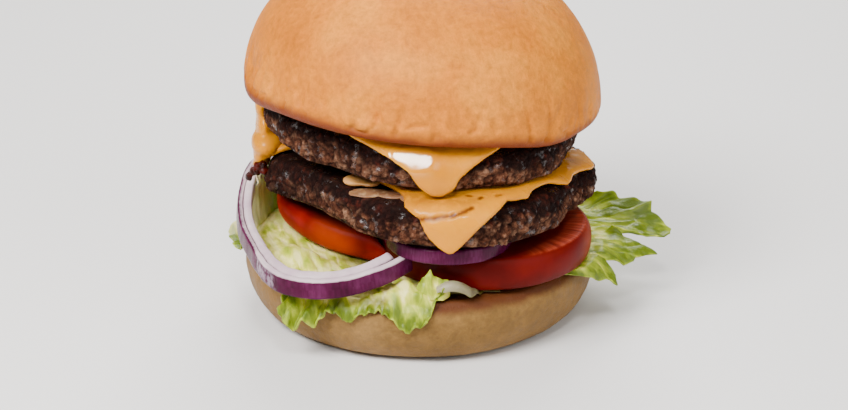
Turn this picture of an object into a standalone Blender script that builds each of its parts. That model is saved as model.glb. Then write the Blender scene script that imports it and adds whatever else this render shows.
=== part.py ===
"""Double cheeseburger, built from the layers that the real one is stacked from.

The origin is the centre of the lower bun's flat base, +Z is up and -Y is the front.
Every layer is a closed solid of its own: bun heel, three lettuce leaves and a curl,
two tomato slices, two onion rings, two beef patties, two cheese slices, bun crown.
Sizes are in metres and written as millimetres times MM.
"""
import math

import bmesh
import bpy
from mathutils import Euler, Matrix, Vector, noise

MM = 0.001
AIR = 0.35 * MM

# Lower bun half, cut face up
HEEL_RADIUS = 53.5 * MM
HEEL_BASE_RADIUS = 44.0 * MM
HEEL_RIM_RADIUS = 50.5 * MM
HEEL_WAIST_HEIGHT = 14.1 * MM
HEEL_HEIGHT = 20.0 * MM
HEEL_CENTRE_X = -1.4 * MM
HEEL_ROUNDNESS = 1.8
HEEL_SIDES = 56

# Upper bun half, cut face down
CROWN_RADIUS = 52.7 * MM
CROWN_CUT_RADIUS = 50.4 * MM
CROWN_SEAT_RADIUS = 46.8 * MM
CROWN_WAIST_HEIGHT = 5.5 * MM
# The rim hangs lower on the left: (direction in degrees, width in degrees, drop)
CROWN_DROOP = (185, 50, 1.6 * MM)
CROWN_HEIGHT = 44.5 * MM
CROWN_SHIFT_X = -2.9 * MM
CROWN_ROUNDNESS = 1.95
CROWN_SIDES = 56

# Beef patties: bottom centre, tilt in degrees about X and Y, and lobes of the outline as
# (direction in degrees, width in degrees, outwards, upwards)
PATTY_SIDES = 64
PATTY_SIDE_SLOPE = 3.0
CRAG_DEPTH = 1.7 * MM
CRAG_SIZE = 8.0 * MM
LOWER_PATTY = {
    "place": (2.0 * MM, -2.0 * MM, 33.6 * MM),
    "tilt": (-3.5, 1.8),
    "radius": 48.3 * MM,
    "thickness": 13.2 * MM,
    "round_top": 4.5 * MM,
    "round_bottom": 3.5 * MM,
    "lobes": (
        (-78, 30, 6.0 * MM, 0.0),
        (-145, 24, -5.0 * MM, 2.5 * MM),
        (-22, 18, -3.0 * MM, 0.0),
        (8, 18, 3.5 * MM, 0.0),
        (110, 20, 2.0 * MM, 0.0),
    ),
}
UPPER_PATTY = {
    "place": (0.0, -1.0 * MM, 52.0 * MM),
    "tilt": (0.0, 5.6),
    "radius": 47.4 * MM,
    "thickness": 12.4 * MM,
    "round_top": 4.5 * MM,
    "round_bottom": 3.5 * MM,
    "lobes": (
        (-128, 16, -2.4 * MM, 0.0),
        (-103, 12, 1.4 * MM, 0.0),
        (-15, 16, -2.6 * MM, 0.0),
        (80, 25, 1.5 * MM, 0.0),
        (150, 15, -1.5 * MM, 0.0),
    ),
}

# Cheese slices, melted over the patties: the four corners, front, right, back and left,
# as (direction in degrees, distance from the patty's centre along the cheese), how far
# each edge between them bulges outwards, how much the corners are rounded and how
# sharply, and the flap, a corner that stands out from the patty, as
# (direction in degrees, width in degrees, extra bend radius)
CHEESE_THICKNESS = 2.3 * MM
CHEESE_STEPS = 14
CHEESE_CROWDING = 0.7
CHEESE_SLACK = 1.0 * MM
LOWER_CHEESE = {
    "corners": ((-84, 71.5 * MM), (-4, 52.5 * MM), (93, 62.0 * MM), (179, 62.0 * MM)),
    "bulges": (-1.5 * MM, 2.0 * MM, 7.0 * MM, -8.0 * MM),
    "rounding": (0.06, 4.0),
    "flap": (178, 26, 4.0 * MM),
}
UPPER_CHEESE = {
    "corners": ((-87, 68.0 * MM), (10, 48.0 * MM), (95, 62.0 * MM), (182, 57.0 * MM)),
    "bulges": (1.0 * MM, 3.0 * MM, 2.0 * MM, 0.0),
    "rounding": (0.12, 2.6),
    "flap": (182, 20, 0.0),
}

# Tomato slices
TOMATO_SIDES = 44
RIGHT_TOMATO_CENTRE = (17.4 * MM, -14.2 * MM)
RIGHT_TOMATO_RADIUS = 32.6 * MM
RIGHT_TOMATO_THICKNESS = 9.8 * MM
LEFT_TOMATO_CENTRE = (-9.0 * MM, 10.5 * MM)
LEFT_TOMATO_RADIUS = 36.3 * MM
LEFT_TOMATO_THICKNESS = 9.0 * MM
# The half slice is cut along the tangent of the right one, met at this direction
LEFT_TOMATO_CUT_DIRECTION = 200
LEFT_TOMATO_CUT_GAP = 1.2 * MM
LEFT_TOMATO_FLAT_X = -14.0 * MM
LEFT_TOMATO_RISE = 3.8 * MM
TOMATO_BASE = 21.4 * MM
# How far the skin draws in at the lower cut face, beside the middle and at the upper one
TOMATO_SKIN_INSETS = (1.3 * MM, 0.3 * MM, 0.4 * MM, 1.7 * MM)

# Onion rings
ONION_WIDTH = 3.6 * MM
ONION_CORNER = 0.14
ONION_END = 0.72
RING_HEIGHT = 5.5 * MM
RING_ROUTE = (
    (-4.2, -41.0, 26.8),
    (-11.0, -47.0, 25.0),
    (-20.5, -50.2, 22.9),
    (-31.0, -51.6, 22.3),
    (-41.0, -46.5, 22.4),
    (-47.6, -33.5, 23.5),
    (-53.2, -16.5, 26.4),
    (-54.4, -2.0, 29.4),
    (-52.4, 10.5, 33.6),
    (-49.0, 20.0, 32.4),
    (-43.8, 30.4, 27.5),
)
RING_STEPS = 40
ARC_CENTRE = (7.0 * MM, -32.6 * MM)
ARC_RADIUS = 16.4 * MM
ARC_BASE = 31.6 * MM
ARC_HEIGHT = 4.6 * MM
ARC_SPAN = (-188, 8)
ARC_STEPS = 22

# Lettuce: ragged edges as (direction in degrees, distance from the centre, height)
LEAF_THICKNESS = 0.7 * MM
LEAF_BED = 20.7 * MM
LEAF_ROWS = 9
LEAF_INSIDE = 0.45
LEAF_OFF_HEEL = 3.1 * MM
FRONT_LEAF_EDGE = (
    (98, 52, 21.5), (110, 54, 23), (122, 57, 19), (134, 54, 23), (146, 52, 23.5),
    (156, 51.5, 27), (167, 51, 32), (175, 52, 28), (180, 59.5, 22.5), (186, 58, 20.5),
    (191, 54, 21), (200, 53, 21), (212, 53, 21), (224, 55, 20.5), (229, 64, 15.5), (232, 62.5, 11),
    (235.5, 61.5, 14.5), (237.5, 59, 12.5), (240.5, 57.5, 17), (244, 56.5, 17),
    (246.6, 56, 14), (251, 55, 17.3), (256, 54.5, 18.3), (260, 55, 17),
    (264.7, 55.3, 12.3), (268, 55.3, 14), (271, 55, 15.5), (274, 52, 22), (277, 51, 25),
)
RIGHT_LEAF_EDGE = (
    (-38, 51.5, 20.9), (-33, 55.5, 19), (-26, 63.5, 16), (-21, 58, 20.5), (-15, 63, 19),
    (-11, 64.5, 17.5), (-3, 71, 16), (0.5, 59, 22.5), (3, 76, 22), (9, 73, 23.5),
    (13, 71, 24), (15, 72.5, 25), (19, 63, 26), (24, 57, 24), (30, 54, 21.5),
)
BACK_LEAF_EDGE = (
    (34, 52, 22), (40, 57, 25), (45, 55, 20), (50, 60, 17), (55, 56, 23), (60, 58, 26),
    (65, 55, 21), (70, 61, 18), (75, 56, 24), (80, 58, 20), (87, 54, 23), (94, 52, 21),
)
# Swellings of the front leaf: (x, y, width, height)
FRONT_LEAF_SWELLS = ((-37.0, -25.0, 9.0, 3.4), (-5.0, -47.0, 6.5, 3.6))
# Ruffles of the back leaf: how many there would be all round, how high, and the
# distances from the centre between which they grow and then sink to half
RUFFLE_COUNT = 14
RUFFLE_HEIGHT = 6.0 * MM
RUFFLE_GROWS = (37.0 * MM, 44.0 * MM)
RUFFLE_SINKS = (48.0 * MM, 56.0 * MM)
CURL_SPAN_X = (7.6 * MM, 25.0 * MM)
CURL_SPAN_Y = (-43.0 * MM, -51.5 * MM)
CURL_ARCH = 5.0 * MM
# The arch takes up this share of the curl's width, and its far end bends back this much
CURL_ARCH_SHARE = 0.55
CURL_BEND = 4.0 * MM


def clear_scene():
    for item in list(bpy.data.objects):
        bpy.data.objects.remove(item, do_unlink=True)


def make_material(name, colour, roughness):
    material = bpy.data.materials.new(name)
    material.use_nodes = True
    shader = material.node_tree.nodes["Principled BSDF"]
    shader.inputs["Base Color"].default_value = (*colour, 1.0)
    shader.inputs["Roughness"].default_value = roughness
    shader.inputs["Metallic"].default_value = 0.0
    material.diffuse_color = (*colour, 1.0)
    return material


def add_object(name, bm, colour, roughness, matrix=None):
    """Put a finished bmesh into the scene as one named, smoothly shaded object."""
    mesh = bpy.data.meshes.new(name)
    bm.to_mesh(mesh)
    bm.free()
    mesh.materials.append(make_material(name, colour, roughness))
    mesh.shade_smooth()
    mesh.set_sharp_from_angle(angle=math.radians(60))
    item = bpy.data.objects.new(name, mesh)
    bpy.context.scene.collection.objects.link(item)
    if matrix is not None:
        item.matrix_world = matrix
    return item


def smooth(t):
    """Ease from 0 to 1 while t goes from 0 to 1."""
    t = min(max(t, 0.0), 1.0)
    return t * t * (3.0 - 2.0 * t)


def mix(a, b, t):
    return a + (b - a) * t


def lobe(angle, centre, width):
    """A soft bump round a circle: 1 at centre, about 0.37 a width away."""
    spread = 1.0 - math.cos(math.radians(width))
    return math.exp((math.cos(angle - math.radians(centre)) - 1.0) / spread)


def unevenness(angle, amount, seed):
    """A gentle, repeatable waver of an outline."""
    here = Vector((1.6 * math.cos(angle), 1.6 * math.sin(angle), seed))
    return amount * noise.noise(here)


def turned_solid(profile, sides):
    """Spin a profile of (radius, height), from bottom pole to top pole, into a solid."""
    bm = bmesh.new()
    points = [bm.verts.new((radius, 0.0, height)) for radius, height in profile]
    edges = [bm.edges.new(pair) for pair in zip(points, points[1:])]
    bmesh.ops.spin(
        bm, geom=points + edges, cent=(0, 0, 0), axis=(0, 0, 1),
        angle=math.tau, steps=sides, use_merge=True,
    )
    bmesh.ops.remove_doubles(bm, verts=bm.verts, dist=1e-6)
    bmesh.ops.recalc_face_normals(bm, faces=bm.faces)
    return bm


def split_quads(bm):
    """Cut every face into triangles so that the solid has no bent faces."""
    bmesh.ops.triangulate(bm, faces=bm.faces, quad_method="FIXED")
    return bm


def sheet(columns, rows, place):
    """A grid whose point at fractions (u, v) lies at place(u, v), in triangles."""
    bm = bmesh.new()
    bmesh.ops.create_grid(bm, x_segments=columns, y_segments=rows, size=0.5)
    for vert in bm.verts:
        vert.co = place(vert.co.x + 0.5, vert.co.y + 0.5)
    return split_quads(bm)


def thicken(item, thickness):
    """Give a sheet its thickness, half to each side, both faces split alike."""
    solidify = item.modifiers.new("Thickness", "SOLIDIFY")
    solidify.thickness = thickness
    solidify.offset = 0.0
    solidify.use_quality_normals = True


def plane_matrix(place, tilt):
    """The frame of a tilted layer: tilt is about X and then about Y, in degrees."""
    turn = Euler((math.radians(tilt[0]), 0.0, 0.0)).to_matrix()
    lean = Euler((0.0, math.radians(tilt[1]), 0.0)).to_matrix()
    return Matrix.Translation(place) @ (lean @ turn).to_4x4()


def patty_outline(spec, angle):
    out = sum(amount * lobe(angle, centre, width) for centre, width, amount, _ in spec["lobes"])
    return spec["radius"] + out


def patty_lift(spec, angle, radius):
    """How far a curled edge raises the patty at this place."""
    up = sum(rise * lobe(angle, centre, width) for centre, width, _, rise in spec["lobes"])
    return up * (radius / spec["radius"]) ** 2


def patty_surface(spec, x, y, height):
    """World height, at world x and y, of the patty's level that is height above its base."""
    matrix = plane_matrix(spec["place"], spec["tilt"])
    normal = matrix.to_3x3() @ Vector((0, 0, 1))
    base = Vector(spec["place"]) + normal * height
    across_x = x - base.x
    across_y = y - base.y
    flat = base.z - (normal.x * across_x + normal.y * across_y) / normal.z
    angle = math.atan2(across_y, across_x)
    return flat + patty_lift(spec, angle, math.hypot(across_x, across_y))


def patty_profile(spec):
    """Half section of a patty with its top and bottom edges rounded."""
    radius = spec["radius"]
    height = spec["thickness"]
    low = spec["round_bottom"]
    high = spec["round_top"]
    slope = math.sqrt(0.5)
    return (
        (0.0, 0.0),
        (0.45 * radius, 0.0),
        (0.8 * radius, 0.0),
        (radius - low, 0.0),
        (radius - low * (1 - slope), low * (1 - slope)),
        (radius, low),
        (radius, height - high),
        (radius - high * (1 - slope), height - high * (1 - slope)),
        (radius - high, height),
        (0.76 * radius, height),
        (0.4 * radius, height),
        (0.0, height),
    )


def shape_patty(bm, spec, seed):
    """Give the turned disc its outline and curled edge, then sink crags into it."""
    radius = spec["radius"]
    for vert in bm.verts:
        angle = math.atan2(vert.co.y, vert.co.x)
        scale = patty_outline(spec, angle) / radius
        distance = math.hypot(vert.co.x, vert.co.y)
        vert.co.x *= scale
        vert.co.y *= scale
        vert.co.z += patty_lift(spec, angle, distance * scale)
    bm.normal_update()
    for vert in bm.verts:
        edge = smooth((vert.co.xy.length / radius - 0.6) / 0.35)
        waver = noise.noise(vert.co / CRAG_SIZE + Vector((seed, 0, 0)))
        grit = noise.noise(vert.co / (0.45 * CRAG_SIZE) + Vector((0, seed, 0)))
        depth = CRAG_DEPTH * mix(0.25, 1.0, edge) * (0.5 + 0.4 * waver + 0.35 * grit)
        vert.co -= vert.normal * max(depth, 0.0)


def build_patty(name, spec, seed, support=None):
    bm = turned_solid(patty_profile(spec), PATTY_SIDES)
    shape_patty(bm, spec, seed)
    matrix = plane_matrix(spec["place"], spec["tilt"])
    if support is not None:
        inverse = matrix.inverted()
        for vert in bm.verts:
            world = matrix @ vert.co
            world.z = max(world.z, support(world.x, world.y))
            vert.co = inverse @ world
    return add_object(name, split_quads(bm), (0.13, 0.065, 0.045), 0.55, matrix)


def slice_point(cheese, u, v):
    """The place on a flat cheese slice at fractions (u, v), measured on the cheese."""
    front, right, back, left = (
        Vector((reach * math.cos(math.radians(angle)), reach * math.sin(math.radians(angle))))
        for angle, reach in cheese["corners"]
    )
    amount, sharpness = cheese["rounding"]
    bulges = cheese["bulges"]
    # Crowd the grid towards the edges, where the slice bends, and ease its corners
    # inwards so that they are rounded, as melted cheese is
    near_u = math.copysign(abs(2.0 * u - 1.0) ** CHEESE_CROWDING, u - 0.5)
    near_v = math.copysign(abs(2.0 * v - 1.0) ** CHEESE_CROWDING, v - 0.5)
    ease = 1.0 - amount * abs(near_u * near_v) ** sharpness
    u = 0.5 + 0.5 * near_u * ease
    v = 0.5 + 0.5 * near_v * ease
    flat = front * (1 - u) * (1 - v) + right * u * (1 - v) + back * u * v + left * (1 - u) * v
    sides = (
        (front, right, 4 * u * (1 - u) * (1 - v), bulges[0]),
        (right, back, 4 * v * (1 - v) * u, bulges[1]),
        (back, left, 4 * u * (1 - u) * v, bulges[2]),
        (left, front, 4 * v * (1 - v) * (1 - u), bulges[3]),
    )
    for start, end, weight, bulge in sides:
        run = (end - start).normalized()
        flat += Vector((run.y, -run.x)) * (bulge * weight)
    return flat


def drape(spec, flap, flat):
    """Lay a point of the slice on the patty: flat, then round its edge, then down."""
    stand = AIR + 0.5 * CHEESE_THICKNESS
    angle = math.atan2(flat.y, flat.x)
    bend = spec["round_top"] + stand + CHEESE_SLACK + flap[2] * lobe(angle, flap[0], flap[1])
    top = spec["thickness"] + stand
    start = patty_outline(spec, angle) - spec["round_top"]
    run = flat.length - start
    quarter = 0.5 * math.pi * bend
    if run <= 0.0:
        radius = flat.length
        height = top
    elif run <= quarter:
        radius = start + bend * math.sin(run / bend)
        height = top - bend * (1.0 - math.cos(run / bend))
    else:
        radius = start + bend
        height = top - bend - (run - quarter)
    lift = patty_lift(spec, angle, min(radius, start + spec["round_top"]))
    return Vector((radius * math.cos(angle), radius * math.sin(angle), height + lift))


def build_cheese(name, spec, cheese):
    bm = sheet(
        CHEESE_STEPS, CHEESE_STEPS,
        lambda u, v: drape(spec, cheese["flap"], slice_point(cheese, u, v)),
    )
    matrix = plane_matrix(spec["place"], spec["tilt"])
    item = add_object(name, bm, (0.87, 0.52, 0.14), 0.35, matrix)
    thicken(item, CHEESE_THICKNESS)
    return item


def heel_radius(height):
    """Radius of the lower bun's side at a height."""
    if height >= HEEL_WAIST_HEIGHT:
        above = (height - HEEL_WAIST_HEIGHT) / (HEEL_HEIGHT - HEEL_WAIST_HEIGHT)
        return HEEL_RADIUS - (HEEL_RADIUS - HEEL_RIM_RADIUS) * min(above, 1.0) ** 2.2
    below = 1.0 - height / HEEL_WAIST_HEIGHT
    swell = (1.0 - below ** HEEL_ROUNDNESS) ** (1.0 / HEEL_ROUNDNESS)
    return HEEL_BASE_RADIUS + (HEEL_RADIUS - HEEL_BASE_RADIUS) * swell


def build_heel():
    base = ((0.0, 0.0), (0.5 * HEEL_BASE_RADIUS, 0.0), (HEEL_BASE_RADIUS, 0.0))
    heights = [fraction * HEEL_HEIGHT for fraction in (0.06, 0.2, 0.42, 0.7, 0.88)]
    side = [(heel_radius(height), height) for height in heights]
    top = (
        (HEEL_RIM_RADIUS, HEEL_HEIGHT),
        (0.8 * HEEL_RIM_RADIUS, HEEL_HEIGHT),
        (0.4 * HEEL_RIM_RADIUS, HEEL_HEIGHT),
        (0.0, HEEL_HEIGHT),
    )
    bm = turned_solid([*base, *side, *top], HEEL_SIDES)
    for vert in bm.verts:
        angle = math.atan2(vert.co.y, vert.co.x)
        scale = 1.0 + unevenness(angle, 0.010, 3.0)
        vert.co.x = vert.co.x * scale + HEEL_CENTRE_X
        vert.co.y *= scale
    add_object("bun_heel", split_quads(bm), (0.72, 0.47, 0.24), 0.7)


def crown_profile():
    """Flat cut face, rounded lower edge and a high dome."""
    profile = [
        (0.0, 0.0), (0.5 * CROWN_CUT_RADIUS, 0.0),
        (CROWN_SEAT_RADIUS, 0.0), (CROWN_CUT_RADIUS, 0.0),
    ]
    for step in (0.25, 0.6, 1.0):
        swell = math.sqrt(1.0 - (1.0 - step) ** 2)
        radius = mix(CROWN_CUT_RADIUS, CROWN_RADIUS, swell)
        profile.append((radius, step * CROWN_WAIST_HEIGHT))
    rise = CROWN_HEIGHT - CROWN_WAIST_HEIGHT
    power = 2.0 / CROWN_ROUNDNESS
    for degrees in (14, 28, 41, 53, 65, 77):
        turn = math.radians(degrees)
        radius = CROWN_RADIUS * math.cos(turn) ** power
        profile.append((radius, CROWN_WAIST_HEIGHT + rise * math.sin(turn) ** power))
    profile.append((0.0, CROWN_HEIGHT))
    return profile


def build_crown():
    bm = turned_solid(crown_profile(), CROWN_SIDES)
    for vert in bm.verts:
        angle = math.atan2(vert.co.y, vert.co.x)
        scale = 1.0 + unevenness(angle, 0.010, 8.0)
        outside = smooth((vert.co.xy.length - CROWN_SEAT_RADIUS) / (3 * MM))
        low = 1.0 - smooth(vert.co.z / (0.4 * CROWN_HEIGHT))
        vert.co.z -= CROWN_DROOP[2] * lobe(angle, *CROWN_DROOP[:2]) * outside * low
        vert.co.x *= scale
        vert.co.y *= scale
    seat = UPPER_PATTY["thickness"] + CHEESE_THICKNESS + 2.0 * AIR
    matrix = plane_matrix(UPPER_PATTY["place"], UPPER_PATTY["tilt"])
    matrix = matrix @ Matrix.Translation((CROWN_SHIFT_X, 0.0, seat))
    add_object("bun_crown", split_quads(bm), (0.62, 0.30, 0.11), 0.6, matrix)


def tomato_profile(radius, thickness):
    """A slice with two flat cut faces and a rounded skin between them."""
    bottom, below, above, top = TOMATO_SKIN_INSETS
    return (
        (0.0, 0.0),
        (0.6 * radius, 0.0),
        (radius - bottom, 0.0),
        (radius - below, 0.22 * thickness),
        (radius, 0.5 * thickness),
        (radius - above, 0.8 * thickness),
        (radius - top, thickness),
        (0.6 * radius, thickness),
        (0.0, thickness),
    )


def under_patty(vert):
    """Press a point down where it would touch the lower patty, but not beside it."""
    ceiling = patty_surface(LOWER_PATTY, vert.co.x, vert.co.y, 0.0) - AIR
    from_centre = vert.co.xy - Vector(LOWER_PATTY["place"]).xy
    angle = math.atan2(from_centre.y, from_centre.x)
    beside = from_centre.length - patty_outline(LOWER_PATTY, angle) - AIR
    vert.co.z = min(vert.co.z, ceiling + PATTY_SIDE_SLOPE * max(beside, 0.0))


def left_tomato_rise(x):
    """The left slice leans: its underside climbs towards the left."""
    span = LEFT_TOMATO_RADIUS + LEFT_TOMATO_FLAT_X - LEFT_TOMATO_CENTRE[0]
    climb = min(max((LEFT_TOMATO_FLAT_X - x) / span, 0.0), 1.2)
    return LEFT_TOMATO_RISE * climb ** 1.5


def build_right_tomato():
    profile = tomato_profile(RIGHT_TOMATO_RADIUS, RIGHT_TOMATO_THICKNESS)
    bm = turned_solid(profile, TOMATO_SIDES)
    shift = Vector((*RIGHT_TOMATO_CENTRE, TOMATO_BASE))
    for vert in bm.verts:
        angle = math.atan2(vert.co.y, vert.co.x)
        scale = 1.0 + unevenness(angle, 0.015, 5.0)
        vert.co.x *= scale
        vert.co.y *= scale
        vert.co += shift
        under_patty(vert)
    add_object("tomato_right", split_quads(bm), (0.50, 0.025, 0.012), 0.25)


def build_left_tomato():
    """A half slice: its round skin faces left, its cut edge lies hidden in the stack."""
    profile = tomato_profile(LEFT_TOMATO_RADIUS, LEFT_TOMATO_THICKNESS)
    bm = turned_solid(profile, TOMATO_SIDES)
    shift = Vector((*LEFT_TOMATO_CENTRE, TOMATO_BASE))
    bmesh.ops.translate(bm, verts=bm.verts, vec=shift)
    turn = math.radians(LEFT_TOMATO_CUT_DIRECTION)
    away = Vector((math.cos(turn), math.sin(turn), 0.0))
    touch = Vector((*RIGHT_TOMATO_CENTRE, 0.0)) + away * (RIGHT_TOMATO_RADIUS + LEFT_TOMATO_CUT_GAP)
    cut = bmesh.ops.bisect_plane(
        bm, geom=bm.verts[:] + bm.edges[:] + bm.faces[:],
        plane_co=touch, plane_no=-away, clear_outer=True,
    )
    rim = [item for item in cut["geom_cut"] if isinstance(item, bmesh.types.BMEdge)]
    bmesh.ops.edgeloop_fill(bm, edges=rim)
    bmesh.ops.recalc_face_normals(bm, faces=bm.faces)
    for vert in bm.verts:
        vert.co.z += left_tomato_rise(vert.co.x)
        under_patty(vert)
    add_object("tomato_left", split_quads(bm), (0.62, 0.07, 0.015), 0.25)


def smooth_route(points, t):
    """A smooth curve through the points, for t from 0 to 1."""
    place = t * (len(points) - 1)
    index = min(int(place), len(points) - 2)
    part = place - index
    before = Vector(points[max(index - 1, 0)])
    start = Vector(points[index])
    end = Vector(points[index + 1])
    after = Vector(points[min(index + 2, len(points) - 1)])
    straight = start * 2 + (end - before) * part
    bend = (before * 2 - start * 5 + end * 4 - after) * part ** 2
    twist = (start * 3 - before - end * 3 + after) * part ** 3
    return (straight + bend + twist) * 0.5


def onion_section(height):
    """The ring's cross-section as (outwards, upwards), with a rounded outer skin."""
    half = 0.5 * ONION_WIDTH
    low = ONION_CORNER * height
    high = height - low
    return (
        (-half, low), (-half, high), (-0.7 * half, height), (0.7 * half, height),
        (half, high), (1.25 * half, 0.5 * height), (half, low),
        (0.7 * half, 0.0), (-0.7 * half, 0.0),
    )


def onion_strip(name, route, height, steps):
    """Sweep the onion's section along a route of bottom points."""
    bm = bmesh.new()
    loops = []
    for step in range(steps + 1):
        t = step / steps
        here = route(t)
        ahead = route(min(t + 0.01, 1.0)) - route(max(t - 0.01, 0.0))
        outwards = Vector((-ahead.y, ahead.x, 0.0)).normalized()
        taper = mix(ONION_END, 1.0, smooth(min(t, 1.0 - t) * 9.0))
        loop = []
        for out, up in onion_section(height * taper):
            loop.append(bm.verts.new(here + outwards * out + Vector((0, 0, up))))
        loops.append([bm.edges.new((loop[k - 1], loop[k])) for k in range(len(loop))])
    for first, second in zip(loops, loops[1:]):
        bmesh.ops.bridge_loops(bm, edges=first + second)
    bmesh.ops.edgeloop_fill(bm, edges=loops[0])
    bmesh.ops.edgeloop_fill(bm, edges=loops[-1])
    bmesh.ops.recalc_face_normals(bm, faces=bm.faces)
    for vert in bm.verts:
        under_patty(vert)
    add_object(name, split_quads(bm), (0.36, 0.13, 0.26), 0.3)


def ring_route(t):
    return smooth_route(RING_ROUTE, 1.0 - t) * MM


def arc_route(t):
    angle = math.radians(mix(ARC_SPAN[1], ARC_SPAN[0], t))
    x = ARC_CENTRE[0] + ARC_RADIUS * math.cos(angle)
    y = ARC_CENTRE[1] + ARC_RADIUS * math.sin(angle)
    return Vector((x, y, ARC_BASE))


def edge_at(edge, t):
    """Point of a ragged leaf edge, for t from 0 to 1, eased between the listed points."""
    place = t * (len(edge) - 1)
    index = min(int(place), len(edge) - 2)
    ease = smooth(place - index)
    part = mix(place - index, ease, 0.5)
    start = Vector(edge[index])
    end = Vector(edge[index + 1])
    degrees, radius, height = start.lerp(end, part)
    return math.radians(degrees), radius * MM, height * MM


def clear_of_heel(radius, height):
    """Push a point of a hanging leaf outwards until it is clear of the lower bun."""
    if height < LEAF_BED - 0.2 * MM:
        return max(radius, heel_radius(height) + LEAF_OFF_HEEL)
    return radius


def leaf_surface(edge, inner, flat_to, swell):
    """Map (u, v) to a leaf: along its ragged edge, and from the stack outwards.

    The leaf lies level from the inner radius to the radius flat_to and hangs from
    there on; swell gives the height of its bulges at x and y.
    """
    def place(u, v):
        angle, edge_radius, edge_height = edge_at(edge, u)
        rim = min(flat_to, edge_radius - 1.0 * MM)
        if v < LEAF_INSIDE:
            radius = mix(inner, rim, v / LEAF_INSIDE)
            hang = 0.0
        else:
            hang = (v - LEAF_INSIDE) / (1.0 - LEAF_INSIDE)
            radius = mix(rim, edge_radius, hang)
        x = radius * math.cos(angle)
        y = radius * math.sin(angle)
        bed = LEAF_BED + (swell(x, y) if swell else 0.0)
        height = mix(bed, edge_height, hang ** 1.25)
        radius = clear_of_heel(radius, height)
        return Vector((radius * math.cos(angle), radius * math.sin(angle), height))
    return place


def front_swell(x, y):
    """The front leaf carries the leaning tomato and swells up beside it."""
    fade = 1.0 - smooth((math.hypot(x, y) - 45 * MM) / (9 * MM))
    rise = 0.7 * left_tomato_rise(x) * fade
    from_left = math.hypot(x - LEFT_TOMATO_CENTRE[0], y - LEFT_TOMATO_CENTRE[1])
    from_right = math.hypot(x - RIGHT_TOMATO_CENTRE[0], y - RIGHT_TOMATO_CENTRE[1])
    clear = min(from_left - LEFT_TOMATO_RADIUS, from_right - RIGHT_TOMATO_RADIUS)
    open_side = smooth((clear - 1.5 * MM) / (5 * MM))
    for centre_x, centre_y, width, height in FRONT_LEAF_SWELLS:
        away = math.hypot(x / MM - centre_x, y / MM - centre_y) / width
        rise += height * MM * math.exp(-away * away) * open_side
    return rise


def back_swell(x, y):
    """Ruffles that fill the space under the back of the patty."""
    radius = math.hypot(x, y)
    ruffle = 0.5 + 0.5 * math.sin(RUFFLE_COUNT * math.atan2(y, x))
    grown = smooth((radius - RUFFLE_GROWS[0]) / (RUFFLE_GROWS[1] - RUFFLE_GROWS[0]))
    sunk = smooth((radius - RUFFLE_SINKS[0]) / (RUFFLE_SINKS[1] - RUFFLE_SINKS[0]))
    return RUFFLE_HEIGHT * ruffle * grown * (1.0 - 0.5 * sunk)


def build_leaf(name, edge, inner, flat_to, swell=None):
    place = leaf_surface(edge, inner, flat_to, swell)
    bm = sheet(2 * (len(edge) - 1), LEAF_ROWS, place)
    item = add_object(name, bm, (0.42, 0.55, 0.12), 0.4)
    thicken(item, LEAF_THICKNESS)


def build_curl():
    """A small pale leaf in front of the tomato, arched at its left end."""
    def place(u, v):
        x = mix(*CURL_SPAN_X, u)
        front = smooth((v - 0.5) / 0.45)
        arch = CURL_ARCH * math.sin(math.pi * min(u / CURL_ARCH_SHARE, 1.0)) * front
        y = mix(*CURL_SPAN_Y, v) + CURL_BEND * u * u
        return Vector((x, y, LEAF_BED + arch))
    item = add_object("lettuce_curl", sheet(16, 5, place), (0.62, 0.66, 0.36), 0.4)
    thicken(item, LEAF_THICKNESS)


def upper_patty_support(x, y):
    """Lowest height that the upper patty may have over the lower cheese slice."""
    stack = LOWER_PATTY["thickness"] + CHEESE_THICKNESS + 2.0 * AIR
    return patty_surface(LOWER_PATTY, x, y, stack)


clear_scene()
build_heel()
build_leaf("lettuce_front", FRONT_LEAF_EDGE, 24 * MM, 50.5 * MM, front_swell)
build_leaf("lettuce_right", RIGHT_LEAF_EDGE, 32 * MM, 54.5 * MM)
build_leaf("lettuce_back", BACK_LEAF_EDGE, 30 * MM, 50.5 * MM, back_swell)
build_curl()
build_left_tomato()
build_right_tomato()
onion_strip("onion_ring", ring_route, RING_HEIGHT, RING_STEPS)
onion_strip("onion_arc", arc_route, ARC_HEIGHT, ARC_STEPS)
build_patty("patty_lower", LOWER_PATTY, 11.0)
build_cheese("cheese_lower", LOWER_PATTY, LOWER_CHEESE)
build_patty("patty_upper", UPPER_PATTY, 27.0, upper_patty_support)
build_cheese("cheese_upper", UPPER_PATTY, UPPER_CHEESE)
build_crown()
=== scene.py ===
# %% [markdown]
# # Dressing a double cheeseburger
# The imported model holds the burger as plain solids: two bun halves, two patties, two
# cheese slices, tomato, onion and lettuce. This lesson turns each of them into food. A
# solid whose form is right is copied, welded and subdivided. Leaves and onion layers,
# whose charm is their waver, are new sheets laid over the same route as the solid.

# %% Load the frame
import math
from functools import partial

import bpy
from mathutils import Euler, Matrix, Vector, noise


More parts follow.
